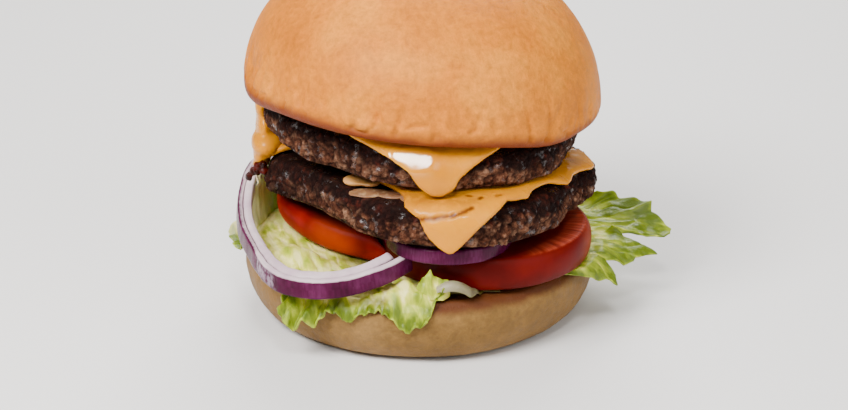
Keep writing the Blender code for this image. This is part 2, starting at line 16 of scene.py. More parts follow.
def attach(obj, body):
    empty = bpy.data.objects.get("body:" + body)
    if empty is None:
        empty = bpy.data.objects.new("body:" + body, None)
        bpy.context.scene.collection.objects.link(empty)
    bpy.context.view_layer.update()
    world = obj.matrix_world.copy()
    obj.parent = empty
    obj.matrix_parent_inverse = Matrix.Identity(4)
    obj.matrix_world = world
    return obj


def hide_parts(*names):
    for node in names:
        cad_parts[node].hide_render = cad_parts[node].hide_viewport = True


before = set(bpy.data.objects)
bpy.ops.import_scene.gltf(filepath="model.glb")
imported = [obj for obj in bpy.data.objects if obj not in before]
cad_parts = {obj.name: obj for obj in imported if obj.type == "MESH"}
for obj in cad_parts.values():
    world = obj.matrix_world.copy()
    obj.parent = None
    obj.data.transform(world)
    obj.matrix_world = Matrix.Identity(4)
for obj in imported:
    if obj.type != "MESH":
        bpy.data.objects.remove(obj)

# Without a seed of its own, vector noise takes one from the clock and each run differs
NOISE_SEED = 7
noise.seed_set(NOISE_SEED)
MM = 0.001
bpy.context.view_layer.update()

# %% [markdown]
# ## Helpers for working as by hand
# An operator acts on everything that is selected, and loading the frame leaves the solids
# selected. So one helper selects a single object, and the others use it: apply a modifier
# at once, remesh, or copy a solid's mesh. A solid comes as loose triangles. Welding its
# doubles and joining triangles into quads gives a mesh that subdivides without dents.

# %% Select, apply and copy
def select_only(piece):
    bpy.ops.object.select_all(action="DESELECT")
    piece.select_set(True)
    bpy.context.view_layer.objects.active = piece


def apply_modifier(piece, kind, **settings):
    modifier = piece.modifiers.new(kind.title(), kind)
    for key, value in settings.items():
        setattr(modifier, key, value)
    select_only(piece)
    bpy.ops.object.modifier_apply(modifier=modifier.name)


def subdivide(piece, levels):
    apply_modifier(piece, "SUBSURF", levels=levels, render_levels=levels)


def even_skin(piece, voxel, rounds=0):
    """Remesh with this voxel in millimetres, then round the edges by rounds of smoothing."""
    apply_modifier(piece, "REMESH", mode="VOXEL", voxel_size=voxel * MM)
    if rounds:
        apply_modifier(piece, "SMOOTH", factor=0.5, iterations=rounds)


def copy_of_solid(node_name, name):
    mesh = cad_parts[node_name].data.copy()
    mesh.name = name
    mesh.materials.clear()
    piece = bpy.data.objects.new(name, mesh)
    bpy.context.scene.collection.objects.link(piece)
    select_only(piece)
    bpy.ops.mesh.customdata_custom_splitnormals_clear()
    bpy.ops.object.mode_set(mode="EDIT")
    bpy.ops.mesh.select_all(action="SELECT")
    bpy.ops.mesh.remove_doubles(threshold=0.00001)
    bpy.ops.mesh.tris_convert_to_quads(
        face_threshold=math.radians(50), shape_threshold=math.radians(60))
    bpy.ops.object.mode_set(mode="OBJECT")
    return piece


# %% [markdown]
# ## Helpers for shape
# Fine relief is a matter of moving every point a little along its normal, by a noise
# whose grain has a real size in millimetres. A Displace modifier could do it, but a
# Python function can also look at where the point lies, and can keep what it found as an
# attribute, which the material reads later: how deep in a crevice, or how far up the side.

# %% Ease, mix and move points
def ease(t):
    t = min(max(t, 0.0), 1.0)
    return t * t * (3.0 - 2.0 * t)


def mix(a, b, t):
    return a + (b - a) * t


def grain(point, size, seed=0.0):
    """Noise from about -1 to 1 with blobs of this size in millimetres."""
    return noise.noise(point / (size * MM) + Vector((seed, 3.1 * seed, -seed)))


def crack(point, size, seed=0.0):
    """0 on the cracks between lumps of this size in millimetres, up to 1 on a lump."""
    near = noise.voronoi(point / (size * MM) + Vector((seed, -seed, 2.3 * seed)))[0]
    return min((near[1] - near[0]) / 0.45, 1.0)


def displace(piece, offset):
    """Move each point along its normal by offset(place, normal), in metres."""
    mesh = piece.data
    normals = [vert.normal.copy() for vert in mesh.vertices]
    for vert, normal in zip(mesh.vertices, normals):
        vert.co += normal * offset(vert.co.copy(), normal)
    mesh.update()


def grab(piece, pulls):
    """Pull places on a mesh like a grab brush: (place, reach, move) in millimetres."""
    for vert in piece.data.vertices:
        here = vert.co.copy()
        for place, reach, move in pulls:
            away = (here - Vector(place) * MM).length / (reach * MM)
            vert.co += Vector(move) * (MM * math.exp(-away * away))


def near_route(place, route, width):
    """1 on a route of points in millimetres, easing to 0 at this distance from it."""
    nearest = 1.0
    for start, end in zip(route, route[1:]):
        first = Vector(start) * MM
        run = Vector(end) * MM - first
        part = min(max((place - first).dot(run) / run.length_squared, 0.0), 1.0)
        nearest = min(nearest, (place - first - run * part).length)
    return 1.0 - ease(nearest / (width * MM))


def keep_values(piece, name, values):
    """Keep one value for every point as an attribute that a material can read."""
    layer = piece.data.attributes.new(name, "FLOAT", "POINT")
    layer.data.foreach_set("value", values)


def store(piece, name, value_at):
    """Keep value_at(place) for every point."""
    keep_values(piece, name, [value_at(vert.co) for vert in piece.data.vertices])


def finish_piece(piece, material, slot, *nodes):
    """Shade, paint and seat a piece, and let it stand for its CAD nodes."""
    piece.data.materials.clear()
    piece.data.materials.append(material)
    select_only(piece)
    bpy.ops.object.shade_smooth()
    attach(piece, "root")
    if nodes:
        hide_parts(*nodes)
    triangles = sum(len(face.vertices) - 2 for face in piece.data.polygons)
    print(piece.name, triangles, "triangles")
    return piece


# %% [markdown]
# ## Helpers for materials
# Colours are written as the hex values that a colour picker shows, and turned to the
# linear values that Blender works in. One function adds any node and fills its inputs, in
# their order or by name, with numbers, colours or the nodes that they read. A noise's
# scale is how many times it repeats in a metre, so it is one over its grain.

# %% Colours and nodes
def colour(shade):
    """A linear colour from a hex code, or a grey from its linear level."""
    if isinstance(shade, float):
        return (shade, shade, shade, 1.0)
    levels = [int(shade[k:k + 2], 16) / 255.0 for k in (1, 3, 5)]
    linear = [c / 12.92 if c <= 0.04045 else ((c + 0.055) / 1.055) ** 2.4 for c in levels]
    return (*linear, 1.0)


def fill_inputs(node, *values, **named):
    """Fill the inputs that a node shows, in their order, or by name with _ for a space.

    A value is a number, a hex colour, a socket, or a node for the first output it shows.
    """
    shown = [socket for socket in node.inputs if socket.enabled]
    called = {socket.name.replace(" ", "_"): socket for socket in shown}
    filled = [*zip(shown, values), *((called[name], value) for name, value in named.items())]
    for socket, value in filled:
        if isinstance(value, bpy.types.Node):
            value = next(output for output in value.outputs if output.enabled)
        if isinstance(value, bpy.types.NodeSocket):
            node.id_data.links.new(value, socket)
        else:
            socket.default_value = colour(value) if isinstance(value, str) else value


def add_node(tree, kind, *values, stops=(), **named):
    """Add a node. Names in small letters are its settings, the others its inputs."""
    made = tree.nodes.new("ShaderNode" + kind)
    for name in [name for name in named if name.islower()]:
        setattr(made, name, named.pop(name))
    fill_inputs(made, *values, **named)
    if stops:
        marks = made.color_ramp.elements
        while len(marks) < len(stops):
            marks.new(0.5)
        for mark, (position, shade) in zip(marks, stops):
            mark.position = position
            mark.color = colour(shade)
    return made


def per_metre(grain_mm):
    return 1.0 / (grain_mm * MM)


def new_material(name, roughness, ior, gloss=0.5):
    """A material, its shader, a function that adds a node to it, and object coordinates."""
    material = bpy.data.materials.new(name)
    material.use_nodes = True
    add = partial(add_node, material.node_tree)
    shader = material.node_tree.nodes["Principled BSDF"]
    fill_inputs(shader, Roughness=roughness, IOR=ior, Specular_IOR_Level=gloss)
    return material, shader, add, add("TexCoord").outputs["Object"]


# %% [markdown]
# ## Bread
# A soft bun is glazed and baked, so its crust is a thin golden skin with a soft sheen. It
# is never one colour: it tans unevenly over a centimetre or two, and is finely mottled
# where the steam left it.
# The last millimetres before the cut were pressed on the griddle and toasted brown.

# %% Baked crust
def baked_crust(name, pale, tan, deep, toasted, toast_from, toast_to):
    """The toast fades out between two distances from the cut, in millimetres."""
    material, shader, add, place = new_material(name, 0.5, 1.45, 0.14)
    patches = add("TexNoise", Vector=place, Scale=per_metre(24), Detail=4.0, Roughness=0.55)
    tanned = add("ValToRGB", patches, stops=[(0.3, pale), (0.5, tan), (0.72, deep)])
    mottle = add("TexNoise", Vector=place, Scale=per_metre(1.9), Detail=5.0, Roughness=0.7)
    light = add("MapRange", mottle, From_Min=0.3, From_Max=0.7, To_Min=0.74, To_Max=1.2)
    mottled = add("Mix", 1.0, tanned, light, data_type="RGBA", blend_type="MULTIPLY")
    side = add("Attribute", attribute_name="from_cut").outputs["Fac"]
    waver = add("TexNoise", Vector=place, Scale=per_metre(6), Detail=3.0)
    ragged = add("Math", waver, 2.4, side, operation="MULTIPLY_ADD")
    toast = add(
        "MapRange", ragged, From_Min=toast_from, From_Max=toast_to, To_Min=1.0, To_Max=0.0,
        interpolation_type="SMOOTHSTEP")
    baked = add("Mix", toast, mottled, toasted, data_type="RGBA")
    sheen = add("MapRange", mottle, From_Min=0.3, From_Max=0.7, To_Min=0.42, To_Max=0.6)
    pores = add("TexNoise", Vector=place, Scale=per_metre(0.9), Detail=3.0, Roughness=0.6)
    fine = add("Bump", Height=pores, Strength=0.5, Distance=0.12 * MM)
    skin = add("Bump", Height=mottle, Strength=0.6, Distance=0.5 * MM, Normal=fine)
    fill_inputs(
        shader, Base_Color=baked, Roughness=sheen, Normal=skin, Subsurface_Weight=0.12,
        Subsurface_Radius=(1.0, 0.5, 0.25), Subsurface_Scale=2.0 * MM)
    return material


crown_crust = baked_crust(
    "Glazed bun crust", pale="#cc7f22", tan="#bf6e13", deep="#aa5d0c", toasted="#6c2d0d",
    toast_from=2.2, toast_to=6.4)
# Painted shade: the base's colours are darker than the bun's own, for the shade under the stack
heel_crust_with_painted_shade = baked_crust(
    "Soft bun base", pale="#8a683b", tan="#79592d", deep="#664a23", toasted="#502a12",
    toast_from=2.6, toast_to=5.4)
print("bread:", crown_crust.name, "and", heel_crust_with_painted_shade.name)

# %% [markdown]
# ## The crown
# The upper bun is a smooth dome, so its solid, subdivided three times, is right. What it
# lacks is life: slow swells from the dough, and near the lower edge the dimples and short
# upright wrinkles of a crust that shrank as it cooled, deepest at the left.

# %% Crown
CUT_TILT = Euler((0.0, math.radians(5.6), 0.0)).to_matrix()
CUT_UP = CUT_TILT @ Vector((0.0, 0.0, 1.0))
CUT_CENTRE = Vector((-1.4 * MM, -1.0 * MM, 67.6 * MM))
CROWN_RADIUS = 52.7 * MM
# Where the crust has folded as it cooled
CROWN_CREASES = (
    ((-22.5, -48.0, 74.0), (-19.9, -49.5, 71.9), (-16.2, -51.0, 71.2), (-13.7, -51.6, 73.6)),
    ((-29.8, -44.0, 75.0), (-30.3, -43.4, 79.0)),
)


def above_cut(place):
    """Height in millimetres above the crown's cut face."""
    return (place - CUT_CENTRE).dot(CUT_UP) / MM


def crown_relief(place, normal):
    height = above_cut(place)
    flat = 1.0 - ease((height - 0.4) / 1.2)
    swell = 0.35 * MM * grain(place, 26, 1.0) + 0.12 * MM * grain(place, 7, 2.0)
    angle = math.atan2(place.y, place.x)
    around = Vector((math.cos(angle) * CROWN_RADIUS, math.sin(angle) * CROWN_RADIUS, 0.3 * place.z))
    low = ease((height - 1.5) / 2.0) * (1.0 - ease((height - 6.0) / 9.0))
    left = 0.2 + 0.8 * ease(0.5 - 0.7 * math.cos(angle - math.radians(62)))
    wrinkle = max(1.0 - 5.0 * abs(grain(around, 6.0, 5.0)), 0.0)
    pit = max(-grain(place, 2.6, 6.0) - 0.25, 0.0)
    shrunk = (1.3 * wrinkle + 2.2 * pit) * low * left
    crease = sum(near_route(place, route, 1.1) for route in CROWN_CREASES)
    return (swell - (shrunk + 0.9 * crease) * MM) * (1.0 - flat)


crown = copy_of_solid("bun_crown", "crown")
subdivide(crown, 3)
displace(crown, crown_relief)
store(crown, "from_cut", above_cut)
# The soft rim sags over the stack at both sides
grab(crown, (
    ((48.0, -6.0, 64.0), 20.0, (1.6, -0.4, -2.4)),
    ((37.0, -35.5, 65.5), 15.0, (0.3, -0.3, -2.0)),
    ((-46.0, -18.0, 72.0), 12.0, (-1.2, -0.5, -1.4)),
))
finish_piece(crown, crown_crust, "bun", "bun_crown")

# %% [markdown]
# ## The heel
# The lower bun is a shallow cushion. Its side is soft, matt and a little baggy, and the
# cut edge at its top was toasted with the crown's. Its crust colours are darker than the
# bun's own, as painted shade under the stack.

# %% Heel
HEEL_HEIGHT = 20.0


def below_cut(place):
    return HEEL_HEIGHT - place.z / MM


def heel_relief(place, normal):
    side = ease((place.z / MM - 0.8) / 2.0) * ease(below_cut(place) / 1.5)
    swell = 0.45 * MM * grain(place, 17, 11.0) + 0.2 * MM * grain(place, 6, 12.0)
    return (swell - 0.2 * MM * abs(grain(place, 2.6, 13.0))) * side


heel = copy_of_solid("bun_heel", "heel")
subdivide(heel, 3)
displace(heel, heel_relief)
store(heel, "from_cut", below_cut)
finish_piece(heel, heel_crust_with_painted_shade, "bun", "bun_heel")

# %% [markdown]
# ## Beef
# A patty is coarse mince, pressed on a hot plate. Its faces char nearly black and the side
# stays a crumble of brown lumps with painted shade in the cracks, wet with fat in places. The
# solid has the outline and the tilt. A few pulls fill out its left end, a voxel remesh
# gives it an even skin of points, and two sizes of lumps are pressed into its side. How
# deep a point lies in a crack, which lump it is on, and how near it is to the seared face
# are kept for the material.

# %% Seared mince
def seared_mince():
    material, shader, add, place = new_material("Seared minced beef", 0.6, 1.42, 0.2)
    fibre = add("TexNoise", Vector=place, Scale=per_metre(1.4), Detail=6.0, Roughness=0.75)
    tint = add("Attribute", attribute_name="tint").outputs["Fac"]
    varied = add("Math", tint, 0.28, fibre, operation="MULTIPLY_ADD")
    meat = add("ValToRGB", varied, stops=[
        (0.45, "#26100b"), (0.58, "#452618"), (0.69, "#5f3b29"), (0.86, "#87634c")])
    fine = add("TexNoise", Vector=place, Scale=per_metre(3.4), Detail=5.0, Roughness=0.65)
    char = add("ValToRGB", fine, stops=[(0.4, "#0d0403"), (0.56, "#210c08"), (0.7, "#45180f")])
    sear = add("Attribute", attribute_name="sear").outputs["Fac"]
    charred = add("Mix", sear, meat, char, data_type="RGBA")
    # Painted shade: the deeper a point lies in a crack between lumps, the darker it is
    lump = add("Attribute", attribute_name="lump").outputs["Fac"]
    painted_crack_shade = add("MapRange", lump, From_Min=0.1, From_Max=0.7, To_Min=0.8, To_Max=0.0)
    shaded = add("Mix", painted_crack_shade, charred, "#100403", data_type="RGBA")
    fat_and_highlight = add("TexNoise", Vector=place, Scale=per_metre(2.6), Detail=5.0)
    wet = add("MapRange", fat_and_highlight, From_Min=0.59, From_Max=0.65)
    crumbs = add("TexVoronoi", Vector=place, Scale=per_metre(0.9), feature="SMOOTH_F1")
    crumbly = add("Bump", Height=crumbs, Strength=0.9, Distance=0.5 * MM, invert=True)
    gritty = add("Bump", Height=fibre, Strength=0.8, Distance=0.4 * MM, Normal=crumbly)
    fill_inputs(
        shader, Base_Color=shaded, Normal=gritty,
        Roughness=add("MapRange", wet, To_Min=0.75, To_Max=0.12),
        Specular_IOR_Level=add("MapRange", wet, To_Min=0.08, To_Max=0.7))
    return material


mince = seared_mince()
print("beef:", mince.name)

# %% Patties
LUMP_SIZE = 3.6
CRUMB_SIZE = 1.6


def lump_at(place, seed):
    """How far a place lies from the cracks round its lump, 0 to 1, and the lump's shade."""
    bent = place + noise.noise_vector(place / (3.5 * MM)) * 0.9 * MM
    near, centres = noise.voronoi(bent / (LUMP_SIZE * MM) + Vector((seed, -seed, 2.3 * seed)))
    shade = noise.noise(centres[0] * 5.3)
    return min((near[1] - near[0]) / 0.4, 1.0), min(max(0.5 + shade, 0.0), 1.0)


def patty(node_name, name, base, tilt, thickness, seed, pulls, charred):
    """A patty from its solid; base and tilt say where its bottom centre lies.

    Charred places are routes with the width, in millimetres, that the char fades over.
    """
    lean = Euler((0.0, math.radians(tilt[1]), 0.0)).to_matrix()
    turn = Euler((math.radians(tilt[0]), 0.0, 0.0)).to_matrix()
    up = lean @ turn @ Vector((0.0, 0.0, 1.0))

    def rise(place):
        return (place - Vector(base) * MM).dot(up) / (thickness * MM)

    def depth_at(place):
        return 0.6 * lump_at(place, seed)[0] + 0.4 * crack(place, CRUMB_SIZE, seed)

    def relief(place, normal):
        side = ease((1.0 - abs(normal.dot(up)) - 0.05) / 0.35)
        rough = 0.8 + 0.8 * grain(place, 13, seed + 9)
        big = lump_at(place, seed)[0] ** 0.6 - 0.7
        small = crack(place, CRUMB_SIZE, seed) ** 0.6 - 0.7
        broad = grain(place, 7, seed)
        return side * MM * (rough * (1.0 * big + 0.6 * small) + 1.1 * broad)

    def sear_at(place):
        ragged = rise(place) + 0.25 * grain(place, 8, seed + 4) + 0.2 * grain(place, 1.8, seed)
        face = ease((ragged - 0.42) / 0.25)
        burnt = max(near_route(place, route, width) for route, width in charred)
        under = 0.7 * (1.0 - ease((ragged - 0.03) / 0.12))
        return 0.96 * max(face, 0.9 * burnt, under)

    piece = copy_of_solid(node_name, name)
    subdivide(piece, 1)
    grab(piece, pulls)
    even_skin(piece, voxel=0.48)
    store(piece, "lump", depth_at)
    store(piece, "tint", lambda place: lump_at(place, seed)[1])
    store(piece, "sear", sear_at)
    displace(piece, relief)
    return finish_piece(piece, mince, "beef", node_name)


patty(
    "patty_lower", "beef_lower", base=(2.0, -2.0, 33.6), tilt=(-3.5, 1.8), thickness=13.2,
    seed=3.0, pulls=(
        ((-46.0, -4.0, 41.0), 13.0, (-2.4, 0.0, 0.3)),
        ((-46.0, -8.0, 36.0), 8.0, (-1.6, 0.0, -0.6))),
    charred=((((-50.0, 6.0, 41.0), (-40.0, -24.0, 41.0)), 15.0),))
patty(
    "patty_upper", "beef_upper", base=(0.0, -1.0, 52.0), tilt=(0.0, 5.6), thickness=12.4,
    seed=8.0, pulls=(
        ((-46.0, -4.0, 62.0), 12.0, (-1.6, 0.0, 0.0)),
        ((-34.0, -30.0, 54.0), 12.0, (-0.3, -0.3, -1.2))),
    charred=(
        (((48.0, 2.0, 56.0), (46.0, -12.0, 56.0)), 15.0),
        (((-34.0, -34.0, 65.0), (-14.0, -49.0, 61.0)), 8.0)))

# %% [markdown]
# ## Cheese
# A processed cheese slice melts into a smooth, thick blanket with a satin skin. Light goes
# a millimetre or two into it, so thin edges glow. The solid gives the drape, and pulls
# make its front corners blunt and heavy, or lift its edge where a crag of meat holds it.
# Melting rounds every corner, as a voxel remesh does that is then smoothed. Juice has left
# a brown line where the lower slice turns down. Next to the patty the cheese is browned for
# juice and as painted shade, and its right corner is painted pale for set fat and the glossy
# highlight on it. Fat also stands in a shining pool on the upper slice.

# %% Melted cheese
def melted_cheese():
    material, shader, add, place = new_material("Melted processed cheese", 0.3, 1.46, 0.4)
    cloud = add("TexNoise", Vector=place, Scale=per_metre(16), Detail=3.0)
    orange = add("ValToRGB", cloud, stops=[(0.3, "#b87000"), (0.6, "#c88002")])
    # Pale set fat; on the right corner the pale colour is also a painted highlight
    fat_and_highlight = add("Attribute", attribute_name="fat_and_highlight").outputs["Fac"]
    shade = add("Mix", fat_and_highlight, orange, "#9c8468", data_type="RGBA")
    juice_and_shade = add("Attribute", attribute_name="juice_and_shade").outputs["Fac"]
    streak = add("TexNoise", Vector=place, Scale=per_metre(2.5), Detail=4.0)
    broken = add("MapRange", streak, From_Min=0.3, From_Max=0.5)
    # The stain colour marks juice, and painted shade on the cheese under the upper slice
    stain_and_shade = add("Math", broken, juice_and_shade, operation="MULTIPLY")
    film = add("TexNoise", Vector=place, Scale=per_metre(7), Detail=2.0)
    greasy = add("MapRange", film, From_Min=0.35, From_Max=0.65, To_Min=0.16, To_Max=0.36)
    wet = add("Attribute", attribute_name="wet").outputs["Fac"]
    dry = add("MapRange", wet, To_Min=1.0, To_Max=0.5)
    uneven = add("Math", film, dry, operation="MULTIPLY")
    fill_inputs(
        shader, Base_Color=add("Mix", stain_and_shade, shade, "#521a04", data_type="RGBA"),
        Roughness=add("Math", greasy, dry, operation="MULTIPLY"),
        Specular_IOR_Level=add("MapRange", wet, To_Min=0.2, To_Max=1.0),
        Normal=add("Bump", Height=uneven, Strength=0.4, Distance=0.5 * MM),
        Subsurface_Weight=0.2, Subsurface_Radius=(1.0, 0.5, 0.12), Subsurface_Scale=2.2 * MM)
    return material


cheese_skin = melted_cheese()
print("cheese:", cheese_skin.name)

# %% Slices of cheese
# Where the upper slice turns down, a pool of melted fat has a level, shining surface
POOL = ((-6.5, -50.9, 62.9), (-0.7, -50.4, 63.3))
POOL_CENTRE = Vector((-2.5, -50.7, 63.4)) * MM
POOL_FACING = Vector((0.03, -0.8, 0.6)).normalized()
JUICE = (
    (-1.5, -54.6, 47.3), (3.0, -55.5, 47.7), (8.2, -55.5, 48.6), (11.2, -54.7, 49.3),
    (13.4, -53.3, 50.0))
DRIPS = (
    ((15.4, -49.8, 51.4), (16.2, -48.6, 51.5)), ((20.4, -46.7, 51.0), (21.4, -46.2, 51.0)),
    ((13.2, -48.5, 51.7), (12.2, -48.3, 51.7)))
# Cheese under the upper slice, browned for juice and as painted shade, and a corner painted
# pale for set fat and the glossy highlight on it
SOAKED_AND_SHADED = ((-5.3, -47.2, 51.3), (-1.1, -50.1, 51.2), (7.3, -51.0, 51.6), (12.9, -51.0, 51.3))
# Painted highlight: the pale corner stands for set fat and for the glossy highlight on it
SET_FAT_AND_HIGHLIGHT = ((46.5, 3.0, 52.0), (50.5, -1.5, 51.5))


def cheese_relief(place, normal):
    swell = 0.3 * grain(place, 9, 21.0) + 0.14 * grain(place, 4, 22.0)
    crease = near_route(place, JUICE, 1.8)
    return MM * (swell - 0.3 * crease)


def in_pool(place):
    return ease(1.6 * near_route(place, POOL, 7.0))


def juice_and_shade_at(place):
    spots = max(near_route(place, drip, 1.2) for drip in DRIPS)
    # Juice and painted shade together on the stretch under the upper slice
    return max(near_route(place, JUICE, 1.4), spots, 0.45 * near_route(place, SOAKED_AND_SHADED, 5.5))


def slice_of_cheese(node_name, name, pulls):
    cheese = copy_of_solid(node_name, name)
    subdivide(cheese, 1)
    grab(cheese, pulls)
    even_skin(cheese, voxel=0.5, rounds=7)
    displace(cheese, cheese_relief)
    for vert in cheese.data.vertices:
        above = (vert.co - POOL_CENTRE).dot(POOL_FACING)
        vert.co -= POOL_FACING * (0.85 * in_pool(vert.co) * above)
    store(cheese, "wet", in_pool)
    store(cheese, "juice_and_shade", juice_and_shade_at)
    # Set fat and a painted highlight on the right corner
    store(cheese, "fat_and_highlight", lambda place: 0.7 * near_route(place, SET_FAT_AND_HIGHLIGHT, 7.0))
    finish_piece(cheese, cheese_skin, "cheese", node_name)


slice_of_cheese("cheese_lower", "slice_lower", (
    ((3.0, -56.0, 45.0), 5.5, (-3.8, 1.0, -0.8)),
    ((-3.0, -52.5, 49.0), 5.0, (-4.8, 0.4, -1.4)),
    ((5.0, -57.6, 42.8), 3.5, (-1.6, 0.4, -0.8)),
    ((8.6, -58.4, 40.6), 3.5, (-0.8, 0.2, -1.7)),
    ((11.6, -57.4, 43.4), 3.5, (0.6, 0.6, -0.2)),
    ((25.0, -41.5, 48.8), 3.6, (2.2, -1.0, -0.2)),
    ((24.0, -47.5, 49.0), 3.0, (-0.3, 0.6, 1.0)),
    ((28.6, -42.6, 49.2), 2.6, (0.5, -0.5, -1.0)),
    ((40.5, -23.5, 48.0), 4.2, (2.0, -1.4, -1.7)),
    ((51.5, -4.0, 50.0), 7.0, (0.3, -1.2, -1.9)),
    ((-13.0, -43.0, 50.0), 7.0, (0.8, 0.6, 0.0)),
    ((-31.0, -29.0, 50.0), 11.0, (2.6, 2.4, -0.2)),
    ((-40.0, -13.0, 50.4), 8.0, (5.0, 8.0, 0.0)),
))
slice_of_cheese("cheese_upper", "slice_upper", (
    ((6.5, -52.0, 54.5), 3.4, (2.8, 0.3, -0.9)),
    ((3.2, -51.8, 53.6), 3.0, (-0.3, 0.0, -1.0)),
    ((-0.5, -52.0, 56.0), 3.0, (-0.7, 0.0, -0.5)),
))

# %% [markdown]
# ## Tomato
# A slice has a taut, shiny skin round it and two wet cut faces. The flesh shows pale
# streaks in the wall under the skin, and is darker towards the seeds. The angle and the
# distance from the middle, worked out in the material, draw them. The skin is orange
# where the light comes through the thin end of a slice.

# %% Ripe tomato
# Middle of each slice, x and y, and its radius
LEFT_TOMATO = (-9.0, 10.5, 36.3)
RIGHT_TOMATO = (17.4, -14.2, 32.6)
STREAKS_PER_RADIAN = 16.0
# The streaked wall starts and is full this far within the radius
WALL_STARTS = 9.0
WALL_FULL = 4.0


def ripe_tomato(name, outline, skin, deep, flesh, thin):
    material, shader, add, place = new_material(name, 0.45, 1.4, 0.11)
    centre_x, centre_y, radius = outline
    middle = (-centre_x * MM, -centre_y * MM, 0.0)
    parts = add("SeparateXYZ", add("Mapping", Vector=place, Location=middle)).outputs
    angle = add("Math", parts["Y"], parts["X"], operation="ARCTAN2")
    streaks = add(
        "TexNoise", Vector=add("CombineXYZ", angle), Scale=STREAKS_PER_RADIAN, Detail=4.0)
    cloud = add("TexNoise", Vector=place, Scale=per_metre(11), Detail=3.0)
    red = add("ValToRGB", cloud, stops=[(0.35, deep), (0.62, skin)])
    away = add("VectorMath", add("CombineXYZ", parts["X"], parts["Y"]), operation="LENGTH")
    wall = add(
        "MapRange", away, From_Min=(radius - WALL_STARTS) * MM,
        From_Max=(radius - WALL_FULL) * MM)
    streaky = add("MapRange", streaks, From_Min=0.35, From_Max=0.7, To_Min=0.1, To_Max=0.9)
    in_wall = add("Math", streaky, wall, operation="MULTIPLY")
    cut = add("Attribute", attribute_name="cut_face").outputs["Fac"]
    shown = add("Math", in_wall, cut, operation="MULTIPLY")
    fleshy = add("Mix", shown, red, flesh, data_type="RGBA")
    glow = add("Attribute", attribute_name="thin_end").outputs["Fac"]
    fill_inputs(
        shader, Base_Color=add("Mix", glow, fleshy, thin, data_type="RGBA"),
        Normal=add("Bump", Height=shown, Strength=0.5, Distance=0.4 * MM),
        Subsurface_Weight=0.05, Subsurface_Radius=(1.0, 0.2, 0.08), Subsurface_Scale=1.5 * MM)
    return material


def tomato_slice(node_name, name, outline, rounding, colours, thin_end, streaked, pulls=()):
    """A slice whose edges are rounded by this many rounds of smoothing.

    The colours are those of the skin, the flesh, the streaks and the thin end.
    """
    tomato = copy_of_solid(node_name, name)
    apply_modifier(
        tomato, "BEVEL", width=0.5 * MM, segments=3, limit_method="ANGLE",
        angle_limit=math.radians(35))
    subdivide(tomato, 2)
    grab(tomato, pulls)
    even_skin(tomato, voxel=0.6, rounds=rounding)
    displace(tomato, lambda place, normal: 0.25 * MM * grain(place, 12, 41.0))
    # Streaks show on the cut faces, which lie level
    level = [ease((abs(vert.normal.z) - 0.75) / 0.2) for vert in tomato.data.vertices]
    keep_values(tomato, "cut_face", [
        flat * streaked(vert.co) for flat, vert in zip(level, tomato.data.vertices)])
    store(tomato, "thin_end", thin_end)
    paint = ripe_tomato("Ripe tomato, " + name, outline, *colours)
    finish_piece(tomato, paint, "tomato", node_name)


THIN_END = ((-29.5, -18.0, 27.0), (-25.0, -21.5, 26.0))
tomato_slice(
    "tomato_left", "slice_orange", LEFT_TOMATO, rounding=50,
    colours=("#861004", "#5e0401", "#9c3010", "#a83a06"),
    thin_end=lambda place: 0.6 * near_route(place, THIN_END, 9.0),
    streaked=lambda place: 0.0, pulls=(
        ((-14.0, -25.0, 26.0), 5.0, (4.5, -5.5, 0.4)),
        ((-46.0, -4.0, 34.0), 7.0, (-2.2, 0.4, 0.2))))
tomato_slice(
    "tomato_right", "slice_red", RIGHT_TOMATO, rounding=4,
    colours=("#5c0702", "#460301", "#a8452c", "#8c2c0c"),
    thin_end=lambda place: 0.6 * ease((place.x / MM - 45.0) / 4.0),
    streaked=lambda place: ease((place.x / MM - 26.0) / 12.0))

# %% [markdown]
# ## Sheets that follow a rule
# Leaves and onion layers are thin, so a subdivided copy of their solid would only show
# its facets. They start as a grid primitive instead. A grid comes with a UV map, and each
# of its points is then carried to its place by a function of the same two fractions: u
# along the piece, v across it.

# %% Sheet
def sheet(name, columns, rows, place):
    bpy.ops.object.select_all(action="DESELECT")
    bpy.ops.mesh.primitive_grid_add(x_subdivisions=columns, y_subdivisions=rows, size=1.0)
    piece = bpy.context.object
    piece.name = name
    for vert in piece.data.vertices:
        vert.co = place(vert.co.x + 0.5, vert.co.y + 0.5)
    return piece


def thicken(piece, thickness):
    apply_modifier(piece, "SOLIDIFY", thickness=thickness, offset=0.0)


# %% [markdown]
# ## Red onion
# An onion ring is two or three scales of flesh, white where the knife went through and
# purple on the outside, where thin fibres run across the band. Each scale is a closed
# tube with a squared section, swept along the solid's route, and its v runs round the
# section: 0 on the outer skin, a quarter on the cut top, a half on the inner face. Near
# its end the ring's scales part. At the left the purple skin turns over onto the cut
# face, and at one place it is scuffed.

# %% Onion scale
FIBRES_ALONG = 90.0
FIBRES_ROUND = 2.0


